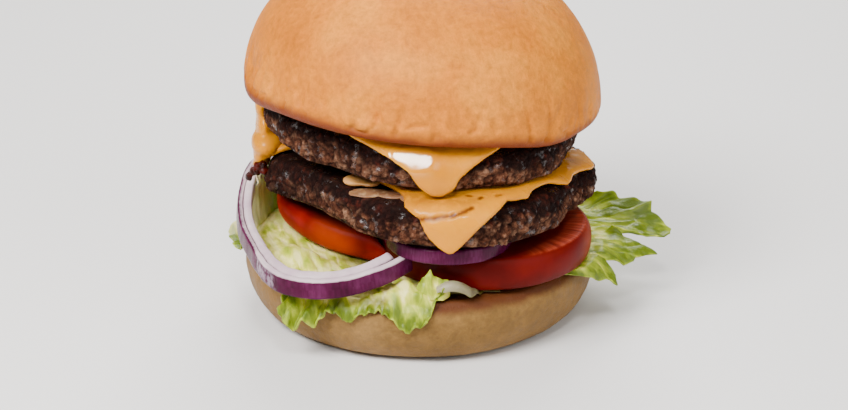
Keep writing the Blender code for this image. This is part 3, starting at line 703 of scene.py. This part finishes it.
def onion_scale(name, white_from, white_to):
    """White shows between two fractions of the way round the section."""
    material, shader, add, place = new_material(name, 0.26, 1.38, 0.16)
    uv = add("TexCoord").outputs["UV"]
    around = add("SeparateXYZ", uv).outputs["Y"]
    ragged = add("TexNoise", Vector=place, Scale=per_metre(1.6), Detail=3.0)
    waver = add("Math", ragged, 0.05, around, operation="MULTIPLY_ADD")
    wrap = add("Attribute", attribute_name="wrap").outputs["Fac"]
    wrapped = add("Math", wrap, -0.16, waver, operation="MULTIPLY_ADD")
    side = add("ValToRGB", wrapped, stops=[
        (0.0, 1.0), (white_from, 1.0), (white_from + 0.03, 0.25), (white_from + 0.07, 0.0),
        (white_to, 0.0), (white_to + 0.06, 1.0), (1.0, 1.0)])
    stretched = add("Mapping", Vector=uv, Scale=(FIBRES_ALONG, FIBRES_ROUND, 1.0))
    fibres = add("TexNoise", Vector=stretched, Scale=1.0, Detail=4.0)
    cloud = add("TexNoise", Vector=place, Scale=per_metre(8), Detail=3.0)
    stained = add("Math", fibres, 0.5, cloud, operation="MULTIPLY_ADD")
    purple = add("ValToRGB", stained, stops=[(0.5, "#2e021a"), (0.75, "#43092c"), (1.0, "#5a2046")])
    flesh = add("ValToRGB", cloud, stops=[(0.35, "#b49aa4"), (0.65, "#cbbab9")])
    scuffed = add("Attribute", attribute_name="scuff").outputs["Fac"]
    scratches = add("MapRange", ragged, From_Min=0.42, From_Max=0.6)
    bare = add("Math", scratches, scuffed, operation="MULTIPLY")
    skin = add("Mix", bare, purple, "#a993a6", data_type="RGBA")
    fill_inputs(
        shader, Base_Color=add("Mix", side, flesh, skin, data_type="RGBA"),
        Normal=add("Bump", Height=fibres, Strength=0.3, Distance=0.2 * MM),
        Subsurface_Weight=0.15, Subsurface_Radius=(0.8, 0.5, 0.6), Subsurface_Scale=1.5 * MM)
    return material


ring_skin = onion_scale("Red onion, large ring", white_from=0.12, white_to=0.72)
arc_skin = onion_scale("Red onion, small ring", white_from=0.3, white_to=0.66)
print("onion:", ring_skin.name, "and", arc_skin.name)

# %% Sweep the scales
SCUFF = ((-46.4, -38.0, 26.2), (-42.4, -45.0, 25.0))
# Where the purple skin turns over onto the cut face of the outermost scale
WRAP = ((-52.4, 10.5, 38.5), (-54.4, -2.0, 34.5), (-53.2, -16.5, 31.5), (-48.0, -32.5, 28.5))
RING_ROUTE = [Vector(point) * MM for point in (
    (-43.8, 30.4, 27.5), (-49.0, 20.0, 32.4), (-52.4, 10.5, 33.6), (-54.4, -2.0, 29.4),
    (-53.2, -16.5, 26.4), (-47.6, -33.5, 23.5), (-41.0, -46.5, 22.4), (-31.0, -51.6, 22.3),
    (-20.5, -50.2, 22.9), (-11.0, -47.0, 25.0), (-4.2, -41.0, 26.8),
)]
ARC_CENTRE = Vector((7.0, -32.6, 31.6)) * MM
ARC_RADIUS = 16.4 * MM
OUTER_SKIN = 2.25


def ring_route(t):
    """A smooth curve through the route's points."""
    place = t * (len(RING_ROUTE) - 1)
    index = min(int(place), len(RING_ROUTE) - 2)
    part = place - index
    before = RING_ROUTE[max(index - 1, 0)]
    start = RING_ROUTE[index]
    end = RING_ROUTE[index + 1]
    after = RING_ROUTE[min(index + 2, len(RING_ROUTE) - 1)]
    straight = start * 2 + (end - before) * part
    bend = (before * 2 - start * 5 + end * 4 - after) * part ** 2
    twist = (start * 3 - before - end * 3 + after) * part ** 3
    return (straight + bend + twist) * 0.5


def arc_route(t):
    angle = math.radians(mix(-208, 8, t))
    return ARC_CENTRE + Vector((math.cos(angle), math.sin(angle), 0.0)) * ARC_RADIUS


def scale_of_onion(
        name, route, span, inside, width, height, parting=0.0, roll=0.0, slant=0.0, steps=260):
    """Sweep one scale; inside is its distance from the ring's outer skin, in mm.

    Its near end is turned about the route by the roll, in degrees. Towards the far end it
    moves further inside by the parting, and its inner edge stands higher by the slant, so
    that the cut shows more.
    """
    def place(u, v):
        t = mix(span[0], span[1], u)
        here = route(t)
        ahead = (route(min(t + 0.004, 1.0)) - route(max(t - 0.004, 0.0))).normalized()
        outwards = Vector((ahead.y, -ahead.x, 0.0)).normalized()
        lean = math.radians(roll) * ease((0.62 - t) / 0.3)
        outwards = (Matrix.Rotation(lean, 3, ahead) @ outwards).normalized()
        upwards = ahead.cross(outwards) * -1.0
        if upwards.z < 0.0:
            upwards = -upwards
        end = min(u, 1.0 - u) * steps / 4.0
        closing = math.sqrt(min(end, 1.0) * (2.0 - min(end, 1.0)))
        turn = math.tau * v
        across = math.copysign(abs(math.cos(turn)) ** 0.4, math.cos(turn))
        along = math.copysign(abs(math.sin(turn)) ** 0.42, math.sin(turn))
        waver = 0.2 * grain(here, 6, 31.0) + 0.1 * grain(here, 2.4, 32.0)
        apart = parting * ease((t - 0.8) / 0.2)
        out = OUTER_SKIN - inside - apart - 0.5 * width + 0.5 * width * across * closing + waver
        high = 0.5 * height * (1.0 + along * closing) + 0.2 * grain(here, 4, 33.0 + inside)
        high += slant * ease((t - 0.4) / 0.2) * max(along, 0.0) * (0.5 - 0.5 * across)
        return here + (outwards * out + upwards * high) * MM
    piece = sheet(name, steps, 32, place)
    select_only(piece)
    bpy.ops.object.mode_set(mode="EDIT")
    bpy.ops.mesh.select_all(action="SELECT")
    bpy.ops.mesh.remove_doubles(threshold=0.000005)
    bpy.ops.mesh.normals_make_consistent(inside=False)
    bpy.ops.object.mode_set(mode="OBJECT")
    store(piece, "scuff", lambda place: near_route(place, SCUFF, 4.6))
    return piece


ring_outer = scale_of_onion(
    "onion_outer", ring_route, span=(0.0, 1.0), inside=0.0, width=1.8, height=5.6, roll=-6,
    slant=0.5)
store(ring_outer, "wrap", lambda place: near_route(place, WRAP, 6.0))
finish_piece(ring_outer, ring_skin, "onion", "onion_ring")
ring_inner = scale_of_onion(
    "onion_inner", ring_route, span=(0.0, 0.95), inside=1.68, width=2.8, height=6.0,
    parting=0.9, roll=-6, slant=1.3)
finish_piece(ring_inner, ring_skin, "onion", "onion_ring")
arc = scale_of_onion(
    "onion_front", arc_route, span=(0.0, 1.0), inside=0.0, width=3.4, height=4.5, steps=160)
finish_piece(arc, arc_skin, "onion", "onion_arc")

# %% [markdown]
# ## Lettuce
# Iceberg is nearly white by the rib and turns yellow-green, then green, at its frilled
# margin. It is crisp, so it does not hang in soft folds but buckles: blisters between a
# net of pale veins, large waves, and a torn, toothed edge. The rule below lays a leaf
# level on the bun, lets it hang or stand at its edge, and adds the waves, which grow
# towards the margin and die out under the tomato that presses on it. How green a point
# is goes with it: blisters are greener than the veins round them, one stretch of the
# front leaf is its pale rib, and folds that lie deep in the stack are painted with shade.

# %% Iceberg leaf
def iceberg():
    material, shader, add, place = new_material("Iceberg lettuce leaf", 0.38, 1.42, 0.28)
    stretched = add("Mapping", Vector=add("TexCoord").outputs["UV"], Scale=(0.28, 1.0, 1.0))
    veins = add("TexNoise", Vector=stretched, Scale=per_metre(2.2), Detail=4.0, Distortion=0.6)
    patches = add("TexNoise", Vector=place, Scale=per_metre(6), Detail=4.0)
    green = add("Attribute", attribute_name="green").outputs["Fac"]
    patchy = add("Math", patches, 0.6, green, operation="MULTIPLY_ADD")
    streaky = add("Math", veins, 1.6, patchy, operation="MULTIPLY_ADD")
    shade = add("ValToRGB", add("MapRange", streaky, From_Min=0.74, From_Max=2.0), stops=[
        (0.05, "#e2da86"), (0.28, "#c2c04c"), (0.5, "#98a326"), (0.7, "#768417"),
        (0.9, "#55650d")])
    rib = add("Attribute", attribute_name="rib").outputs["Fac"]
    ribbed = add("Mix", rib, shade, "#c0b79e", data_type="RGBA")
    # Painted shade on folds that lie deep in the stack, and on the curl
    deep = add("Attribute", attribute_name="deep").outputs["Fac"]
    painted_fold_shade = add("Mix", deep, ribbed, "#40360a", data_type="RGBA")
    blister = add("TexNoise", Vector=place, Scale=per_metre(2.6), Detail=4.0)
    puckered = add("Bump", Height=blister, Strength=0.5, Distance=0.7 * MM)
    veined = add("Bump", Height=veins, Strength=0.5, Distance=0.6 * MM, Normal=puckered)
    fill_inputs(
        shader, Base_Color=painted_fold_shade, Normal=veined, Subsurface_Weight=0.25,
        Subsurface_Radius=(0.6, 1.0, 0.2), Subsurface_Scale=1.6 * MM)
    return material


leaf_skin = iceberg()
LEAF_THICKNESS = 0.5 * MM
print("lettuce:", leaf_skin.name)

# %% [markdown]
# ## The leaves' edges
# What the eye follows on a leaf is its edge. So each leaf is given by a few places along
# its edge, as degrees round the burger, distance from the middle and height in
# millimetres, the way one would pin a wire there.

# %% Edges
FRONT_EDGE = (
    (98, 52, 21.5), (110, 54, 23), (122, 57, 19), (134, 54, 23), (144, 50.5, 28),
    (154, 49, 36), (164, 49.6, 40), (171, 50.2, 40), (176, 51, 37), (178.5, 53, 28),
    (180.5, 60, 21.5), (186, 58, 19), (191, 54, 20.8), (200, 53, 21), (212, 53, 21),
    (224, 55, 20.5), (229, 64, 15.5), (232, 62.5, 11), (235.5, 61.5, 14.5), (237.5, 59, 12.5),
    (240.5, 57.5, 17), (244, 56.5, 17), (246.6, 56, 14), (251, 55, 17.3), (256, 54.5, 18.3),
    (260, 55, 17), (264.7, 55.3, 12.3), (268, 55.3, 14), (271, 55, 15.5), (274, 52, 22),
    (277, 51, 25),
)
RIGHT_EDGE = (
    (-38, 51.5, 20.9), (-32.4, 53.7, 19), (-28.1, 57, 17.5), (-24, 59.3, 16), (-21, 62, 13.5),
    (-19.2, 60.5, 15.5), (-17.7, 57, 19.5), (-15.7, 59.3, 18.5), (-12.9, 61.4, 17),
    (-10, 64.1, 16), (-8.7, 64.5, 17), (-5.8, 67.9, 16.5), (-4, 71.5, 16.5), (-2.6, 66.5, 19),
    (-0.7, 61.4, 20.5), (1, 57.5, 22.5), (1.9, 64.2, 20), (2.6, 70, 18.5), (3.6, 74, 17.5),
    (5, 76.5, 18.5), (6.2, 77.3, 19.5), (7.9, 73.7, 21.5), (10, 71.2, 22.5), (11.2, 71.6, 25.5),
    (12.2, 70, 25), (13.5, 68.3, 25), (16.2, 65.4, 25.5), (19.8, 62.9, 26), (24.1, 60.6, 26),
    (30, 54, 21.5),
)
BACK_EDGE = (
    (34, 52, 22), (40, 57, 25), (45, 55, 20), (50, 60, 17), (55, 56, 23), (60, 58, 26),
    (65, 55, 21), (70, 61, 18), (75, 56, 24), (80, 58, 20), (87, 54, 23), (94, 52, 21),
)
print("leaves:", len(FRONT_EDGE), len(RIGHT_EDGE), len(BACK_EDGE), "places along the edges")

# %% [markdown]
# ## How a leaf lies
# A leaf rests on the bun's toasted top, swells where the onion or a fold lifts it, and
# where it hangs over the rim it follows the bun's side. Small functions say so.

# %% Bed, bun and swells
LEAF_BED = 20.75
HEEL_BASE_RADIUS = 44.0
HEEL_RADIUS = 53.5
HEEL_WAIST = 14.1
SIDE_POWER = 1.8
CLIMB_RISE = 2.66
# Folds under the front leaf: middle, x and y, width and height
FRONT_FOLDS = ((-37.0, -25.0, 9.0, 3.4), (-5.0, -47.0, 6.5, 3.6))
# Painted shade where a leaf lies folded deep in the stack: routes, and the width it fades over
PAINTED_SHADE_FOLDS = (
    (((-22.0, -21.5, 21.4), (-12.0, -28.0, 21.6)), 6.5),
    (((-24.0, -50.0, 20.5), (-12.0, -51.0, 20.5)), 3.5),
)


def beside_tomatoes(x, y):
    """Distance in millimetres outside the nearer tomato slice."""
    slices = (LEFT_TOMATO, RIGHT_TOMATO)
    return min(math.hypot(x - cx, y - cy) - radius for cx, cy, radius in slices)


def bun_side(height):
    """Radius in millimetres of the lower bun at a height."""
    if height >= HEEL_WAIST:
        above = min((height - HEEL_WAIST) / (HEEL_HEIGHT - HEEL_WAIST), 1.0)
        return HEEL_RADIUS - 3.0 * above ** 2.2
    below = 1.0 - max(height, 0.0) / HEEL_WAIST
    bulge = (1.0 - below ** SIDE_POWER) ** (1.0 / SIDE_POWER)
    return HEEL_BASE_RADIUS + (HEEL_RADIUS - HEEL_BASE_RADIUS) * bulge


def front_swell(x, y):
    """The front leaf climbs towards the left, and two folds lift it between the slices."""
    fade = 1.0 - ease((math.hypot(x, y) - 45.0) / 9.0)
    climb = min(max((-14.0 - x) / 31.3, 0.0), 1.2)
    rise = CLIMB_RISE * climb ** 1.5 * fade
    free = ease((beside_tomatoes(x, y) - 1.5) / 5.0)
    for centre_x, centre_y, width, height in FRONT_FOLDS:
        away = math.hypot(x - centre_x, y - centre_y) / width
        rise += height * math.exp(-away * away) * free
    return rise


def back_swell(x, y):
    """The back leaf is ruffled in a band near its edge."""
    radius = math.hypot(x, y)
    ruffle = 0.5 + 0.5 * math.sin(14.0 * math.atan2(y, x))
    band = ease((radius - 37.0) / 7.0) * (1.0 - 0.5 * ease((radius - 48.0) / 8.0))
    return 6.0 * ruffle * band


def leaf_grain(place, degrees):
    """How far a place lies along a leaf's veins, which run this way, and across them."""
    run = Vector((math.cos(math.radians(degrees)), math.sin(math.radians(degrees))))
    return place.x * run.x + place.y * run.y - place.z, place.y * run.x - place.x * run.y


def lay_veins(piece, degrees):
    """Write each point's place along and across the veins, in metres, into the UV map."""
    places = [leaf_grain(vert.co, degrees) for vert in piece.data.vertices]
    uv_map = piece.data.uv_layers.active.data
    for loop in piece.data.loops:
        uv_map[loop.index].uv = places[loop.vertex_index]


# %% [markdown]
# ## One leaf
# The rule walks from the stack's middle to the edge. The first part lies on its bed, the
# rest hangs or stands, and all the relief is added on the way: blisters, waves and the
# frill at the margin. What it finds there about colour is kept for the material.

# %% One leaf
BED_SHARE = 0.45


def leaf(
        name, node_name, edge, inner, flat_to, seed, run, swell=None, green_from=0.5, fold=1.0,
        teeth=1.0, pale_between=(0, 0), bed_fold=0.9, frill_run=3.0):
    """One leaf over its solid. Sizes are in millimetres until the last line of place.

    Its veins run at an angle, and between two angles of its edge it stays pale. The bed
    fold is how much of the fold's relief it has where it lies flat, and the frill run is
    how many degrees each wave of its margin takes.
    """
    greens = []
    painted_shades = []
    ribs = []

    def place(u, v):
        along = u * (len(edge) - 1)
        index = min(int(along), len(edge) - 2)
        part = mix(along - index, ease(along - index), 0.5)
        degrees, edge_radius, edge_height = Vector(edge[index]).lerp(Vector(edge[index + 1]), part)
        angle = math.radians(degrees)
        margin = Vector((math.cos(angle), math.sin(angle), 0.0)) * edge_radius * MM
        edge_radius += teeth * (0.9 * grain(margin, 2.4, seed) + 0.5 * grain(margin, 1.1, seed + 1))
        rim = min(flat_to, edge_radius - 1.0)
        hang = max((v - BED_SHARE) / (1.0 - BED_SHARE), 0.0)
        lying = mix(inner, rim, v / BED_SHARE)
        radius = lying if v < BED_SHARE else mix(rim, edge_radius, hang)
        x = radius * math.cos(angle)
        y = radius * math.sin(angle)
        bed = LEAF_BED + (swell(x, y) if swell else 0.0)
        height = mix(bed, edge_height, hang ** 1.25)
        flat_place = Vector((x, y, height)) * MM
        free = ease((beside_tomatoes(x, y) - 0.3) / 3.5)
        growth = fold * mix(bed_fold, 1.0, ease(hang)) * free
        along_veins, across_veins = leaf_grain(flat_place, run)
        squeezed = Vector((0.35 * along_veins, across_veins, 0.0))
        bent = squeezed + noise.noise_vector(flat_place / (6 * MM)) * 1.3 * MM
        blister = ease(crack(bent, 4.6, seed + 7))
        waves = 1.3 * grain(flat_place, 8, seed + 2) + 0.7 * grain(flat_place, 3.6, seed + 3)
        turn = degrees * math.tau / frill_run + 4.0 * grain(margin, 9, seed + 4)
        frill = 1.2 * hang ** 3 * math.sin(turn)
        near_rim = 1.0 - 0.7 * ease((hang - 0.5) / 0.5)
        lift = growth * (waves + 1.1 * near_rim * blister - 0.5) + fold * free * frill
        outward = 0.6 * growth * grain(flat_place, 5, seed + 6) + 0.5 * lift * hang
        height += lift * (1.0 - 0.4 * hang)
        radius += outward
        if height < LEAF_BED - 0.2:
            radius = max(radius, bun_side(height) + 1.2)
        if radius < 51.0:
            height = max(height, LEAF_BED - 0.1)
        rim_glow = 0.3 * ease((v - 0.94) / 0.06)
        first, last = pale_between
        pale = ease((degrees - first) / 6.0) * ease((last - degrees) / 6.0)
        outer = 0.85 * (1.0 - 0.8 * pale) * ease((v - green_from) / (1.0 - green_from))
        greens.append(outer + 0.35 * (blister - 0.6) - rim_glow - 0.4 * pale * hang)
        ribs.append(pale * mix(0.2, 0.7, ease(hang / 0.3)))
        here = Vector((radius * math.cos(angle), radius * math.sin(angle), height)) * MM
        # Painted shade along the folds deep in the stack
        painted_shades.append(0.85 * max(near_route(here, route, width) for route, width in PAINTED_SHADE_FOLDS))
        return here

    piece = sheet(name, 12 * (len(edge) - 1), 84, place)
    for attribute, values in (("green", greens), ("deep", painted_shades), ("rib", ribs)):
        keep_values(piece, attribute, values)
    lay_veins(piece, run)
    thicken(piece, LEAF_THICKNESS)
    return finish_piece(piece, leaf_skin, "lettuce", node_name)


leaf(
    "leaf_front", "lettuce_front", FRONT_EDGE, inner=24, flat_to=50.5, seed=41.0, run=-77,
    swell=front_swell, green_from=0.48, teeth=0.7, pale_between=(138, 184), bed_fold=0.5)
leaf(
    "leaf_right", "lettuce_right", RIGHT_EDGE, inner=32, flat_to=54.5, seed=51.0, run=-8,
    green_from=0.02, fold=0.8, teeth=0.15, frill_run=9.0)
leaf(
    "leaf_back", "lettuce_back", BACK_EDGE, inner=30, flat_to=50.5, seed=61.0, run=90,
    swell=back_swell, green_from=0.4)

# %% [markdown]
# ## Curl and torn flap
# In front of the tomato a leaf arches, and its rim rolls over and shows as a pale band. A
# torn flap stands beside it. Both are sheets again, each with a rule of its own: a sine
# for the arch with part of a turn for the rolled rim, and a row of heights for the tear.

# %% Curl in front of the tomato
def curl_place(u, v):
    """An arch whose front rim rolls over, so that it shows as a pale band."""
    x = mix(3.6, 22.0, u)
    flat = min(v / 0.7, 1.0)
    front = ease((flat - 0.4) / 0.5)
    arch = 5.2 * math.sin(math.pi * mix(0.2, 1.0, min(u / 0.66, 1.0))) ** 0.75 * front
    tucked = ease((u - 0.5) / 0.18)
    under = ease((u - 0.66) / 0.08)
    y = mix(-43.0, mix(-50.0, -45.6, tucked) + 2.2 * under, flat)
    rolled = math.radians(110) * max(v - 0.7, 0.0) / 0.3
    size = mix(1.5, 0.2, tucked) * mix(0.6, 1.0, ease(u / 0.15))
    y -= size * math.sin(rolled)
    height = LEAF_BED + arch - size * (1.0 - math.cos(rolled))
    here = Vector((x, y, height)) * MM
    waver = 0.35 * grain(here, 4, 71.0) * v
    return here + Vector((0.3 * waver, -waver, waver)) * MM


def curl_shade(place):
    """Painted shade all over, darker to the right and behind, where it goes under the tomato."""
    x = place.x / MM
    darkening = mix(0.55, 0.85, ease((x - 4.0) / 10.0))
    return max(darkening, ease((x - 15.2) / 1.6), ease((place.y / MM + 48.0) / 1.5))


curl = sheet("leaf_curl", 140, 70, curl_place)
store(curl, "green", lambda place: -0.3)
store(curl, "rib", lambda place: 0.9)
# Painted shade on the curl
store(curl, "deep", curl_shade)
lay_veins(curl, -90)
thicken(curl, LEAF_THICKNESS)
finish_piece(curl, leaf_skin, "lettuce", "lettuce_curl")

# %% Torn flap
# Its top, from left to right: (x, height)
TORN_TOPS = (
    (-2.6, 22.0), (-1.6, 24.6), (-0.6, 27.0), (0.2, 27.2), (1.1, 28.4), (1.8, 29.4),
    (2.6, 27.4), (3.8, 26.8), (5.2, 26.5), (6.8, 26.0), (7.2, 23.6), (7.3, 21.0),
)
TORN_MIDDLE = 2.2


def torn_place(u, v):
    along = u * (len(TORN_TOPS) - 1)
    index = min(int(along), len(TORN_TOPS) - 2)
    x, top = Vector(TORN_TOPS[index]).lerp(Vector(TORN_TOPS[index + 1]), along - index)
    height = mix(20.9, top, v)
    spread = mix(TORN_MIDDLE, x, mix(0.6, 1.0, v))
    here = Vector((spread, -51.2 + 2.6 * v, height)) * MM
    return here + Vector((0.0, 0.9 * grain(here, 2.6, 75.0), 0.3 * grain(here, 1.2, 76.0))) * MM


torn = sheet("leaf_torn", 90, 30, torn_place)
store(torn, "green", lambda place: 0.15 + 0.3 * ease((place.z / MM - 24.0) / 3.0))
lay_veins(torn, -90)
thicken(torn, LEAF_THICKNESS)
finish_piece(torn, leaf_skin, "lettuce", "lettuce_front")

# %% [markdown]
# ## Melted drips and crumbs
# Small things that the hot stack left: a fold of cheese squeezed out between the patties
# with a thin greasy layer beside it, a slice's corner that hangs melted at the left, and a
# dark, sticky crumb of fried meat by the ring. Each is a set of balls run together by a
# voxel remesh and smoothed, the way drops merge. The hanging corner's balls lie in rows
# round the patty, each row shorter than the one above it.

# %% Drips and crumbs
def run_together(name, balls, voxel, rounds):
    """Join balls, given as place and half sizes in millimetres, into one soft lump."""
    parts = []
    for place, size in balls:
        bpy.ops.object.select_all(action="DESELECT")
        bpy.ops.mesh.primitive_uv_sphere_add(
            segments=24, ring_count=16, radius=1.0, location=Vector(place) * MM,
            scale=Vector(size) * MM)
        parts.append(bpy.context.object)
    for part in parts:
        part.select_set(True)
    bpy.context.view_layer.objects.active = parts[0]
    bpy.ops.object.join()
    piece = bpy.context.object
    piece.name = name
    select_only(piece)
    bpy.ops.object.transform_apply(location=True, rotation=True, scale=True)
    even_skin(piece, voxel, rounds)
    return piece


def sticky_crumb():
    material, shader, add, place = new_material("Sticky fried crumb", 0.2, 1.45, 0.2)
    shade = add("TexNoise", Vector=place, Scale=per_metre(2.0), Detail=3.0)
    fill_inputs(shader, Base_Color=add("ValToRGB", shade, stops=[
        (0.4, "#1c0401"), (0.65, "#430c04")]))
    return material


TONGUE = (
    ((-19.2, -33.8, 51.0), (4.3, 3.8, 1.6)), ((-15.6, -35.4, 50.8), (3.4, 2.6, 1.1)),
)
TONGUE_DENT = Vector((-18.2, -35.4, 52.8)) * MM
LAYER = (
    ((-15.5, -39.4, 49.2), (6.2, 3.6, 0.8)), ((-8.5, -41.2, 49.3), (5.0, 3.0, 0.8)),
    ((-3.8, -44.6, 49.6), (3.0, 3.6, 1.0)),
)
FLAP = (
    ((-47.0, 2.0, 49.8), (5.2, 8.0, 4.2)), ((-48.8, 3.0, 45.8), (2.8, 6.5, 4.2)),
    ((-47.6, 3.2, 55.4), (2.8, 6.5, 4.6)), ((-48.6, 3.6, 61.4), (2.3, 6.0, 4.8)),
)
FLAP_ROWS = 7
FLAP_STEP = 3.0
PATTY_RADIUS = 49.0
CRUMB = (
    ((-52.6, -3.6, 40.6), (1.1, 1.3, 1.5)), ((-51.2, -4.0, 42.4), (1.3, 1.4, 1.5)),
    ((-49.6, -4.2, 44.2), (1.5, 1.4, 1.4)), ((-48.2, -4.4, 44.9), (1.2, 1.3, 1.2)),
    ((-47.8, -4.6, 43.0), (1.3, 1.4, 1.4)), ((-50.0, -4.6, 42.6), (1.2, 1.2, 1.2)),
)


def tongue_relief(place, normal):
    away = (place - TONGUE_DENT).length / (2.6 * MM)
    return MM * (0.2 * grain(place, 5, 81.0) - 1.2 * math.exp(-away * away))


def whole_flap():
    """The flap with its corner: rows of balls round the patty's side, shorter downwards."""
    balls = list(FLAP)
    for row in range(FLAP_ROWS):
        for step in range(FLAP_ROWS - row):
            y = 4.0 + FLAP_STEP * step
            x = -math.sqrt(PATTY_RADIUS ** 2 - (y + 1.0) ** 2)
            balls.append(((x, y, 67.0 - FLAP_STEP * row), (2.2, 3.4, 3.2)))
    return balls


tongue = run_together("cheese_tongue", TONGUE, voxel=0.4, rounds=12)
displace(tongue, tongue_relief)
store(tongue, "fat_and_highlight", lambda place: 0.45)
finish_piece(tongue, cheese_skin, "cheese")
layer = run_together("cheese_layer", LAYER, voxel=0.35, rounds=8)
displace(layer, lambda place, normal: 0.3 * MM * grain(place, 3, 82.0))
store(layer, "fat_and_highlight", lambda place: 0.8)
store(layer, "juice_and_shade", lambda place: 0.65)
finish_piece(layer, cheese_skin, "cheese")
flap = run_together("cheese_flap", whole_flap(), voxel=0.45, rounds=45)
displace(flap, lambda place, normal: 0.4 * MM * grain(place, 6, 84.0))
finish_piece(flap, cheese_skin, "cheese")
crumb = run_together("crumb", CRUMB, voxel=0.25, rounds=2)
displace(crumb, lambda place, normal: 0.35 * MM * grain(place, 1.2, 83.0))
finish_piece(crumb, sticky_crumb(), "beef")

# %% [markdown]
# ## Floor, light and camera
# A plain pale floor, a large soft lamp high at the left, a weaker one at the right and one
# above and behind, as in a small studio tent. A small one high in front is there to be
# mirrored by the pool of fat. The camera stands where the photograph was taken: 0.71 m
# away, 21 degrees above level, with a 98 mm lens.

# %% Studio
bpy.ops.object.select_all(action="DESELECT")
bpy.ops.mesh.primitive_plane_add(size=6.0, location=(0.0, 0.0, -0.0002))
floor = bpy.context.object
floor.name = "floor"
paper, paper_shader = new_material("White paper sweep", 0.8, 1.45)[:2]
fill_inputs(paper_shader, Base_Color="#dbd8d5")
floor.data.materials.append(paper)

AIM = Vector((0.0, 0.0, 0.045))
LAMPS = (
    ("key", (-0.38, -0.46, 0.62), 0.34, 15.0),
    ("fill", (0.55, -0.45, 0.35), 0.6, 3.6),
    ("back", (0.05, 0.55, 0.6), 0.5, 9.0),
    ("front", (0.03, -0.56, 0.75), 0.15, 3.8),
)
for name, place, size, power in LAMPS:
    data = bpy.data.lights.new(name, "AREA")
    data.size = size
    data.energy = power
    lamp = bpy.data.objects.new(name, data)
    lamp.location = place
    lamp.rotation_euler = (AIM - Vector(place)).to_track_quat("-Z", "Y").to_euler()
    bpy.context.scene.collection.objects.link(lamp)

world = bpy.data.worlds.new("studio")
world.use_nodes = True
fill_inputs(world.node_tree.nodes["Background"], Color="#ffffff", Strength=0.3)
bpy.context.scene.world = world
print("lamps:", [name for name, place, size, power in LAMPS])

# %% Camera
CAMERA_PLACE = Vector((0.0, -0.650, 0.286))
CAMERA_AIM = Vector((0.0, 0.0, 0.030))
IMAGE_WIDTH = 848
FOCAL_PIXELS = 2300
camera_data = bpy.data.cameras.new("camera")
camera_data.sensor_width = 36.0
camera_data.lens = FOCAL_PIXELS / IMAGE_WIDTH * camera_data.sensor_width
camera_data.clip_start = 0.05
camera = bpy.data.objects.new("camera", camera_data)
camera.location = CAMERA_PLACE
camera.rotation_euler = (CAMERA_AIM - CAMERA_PLACE).to_track_quat("-Z", "Y").to_euler()
bpy.context.scene.collection.objects.link(camera)
bpy.context.scene.camera = camera
print("lens:", round(camera_data.lens, 2), "mm")
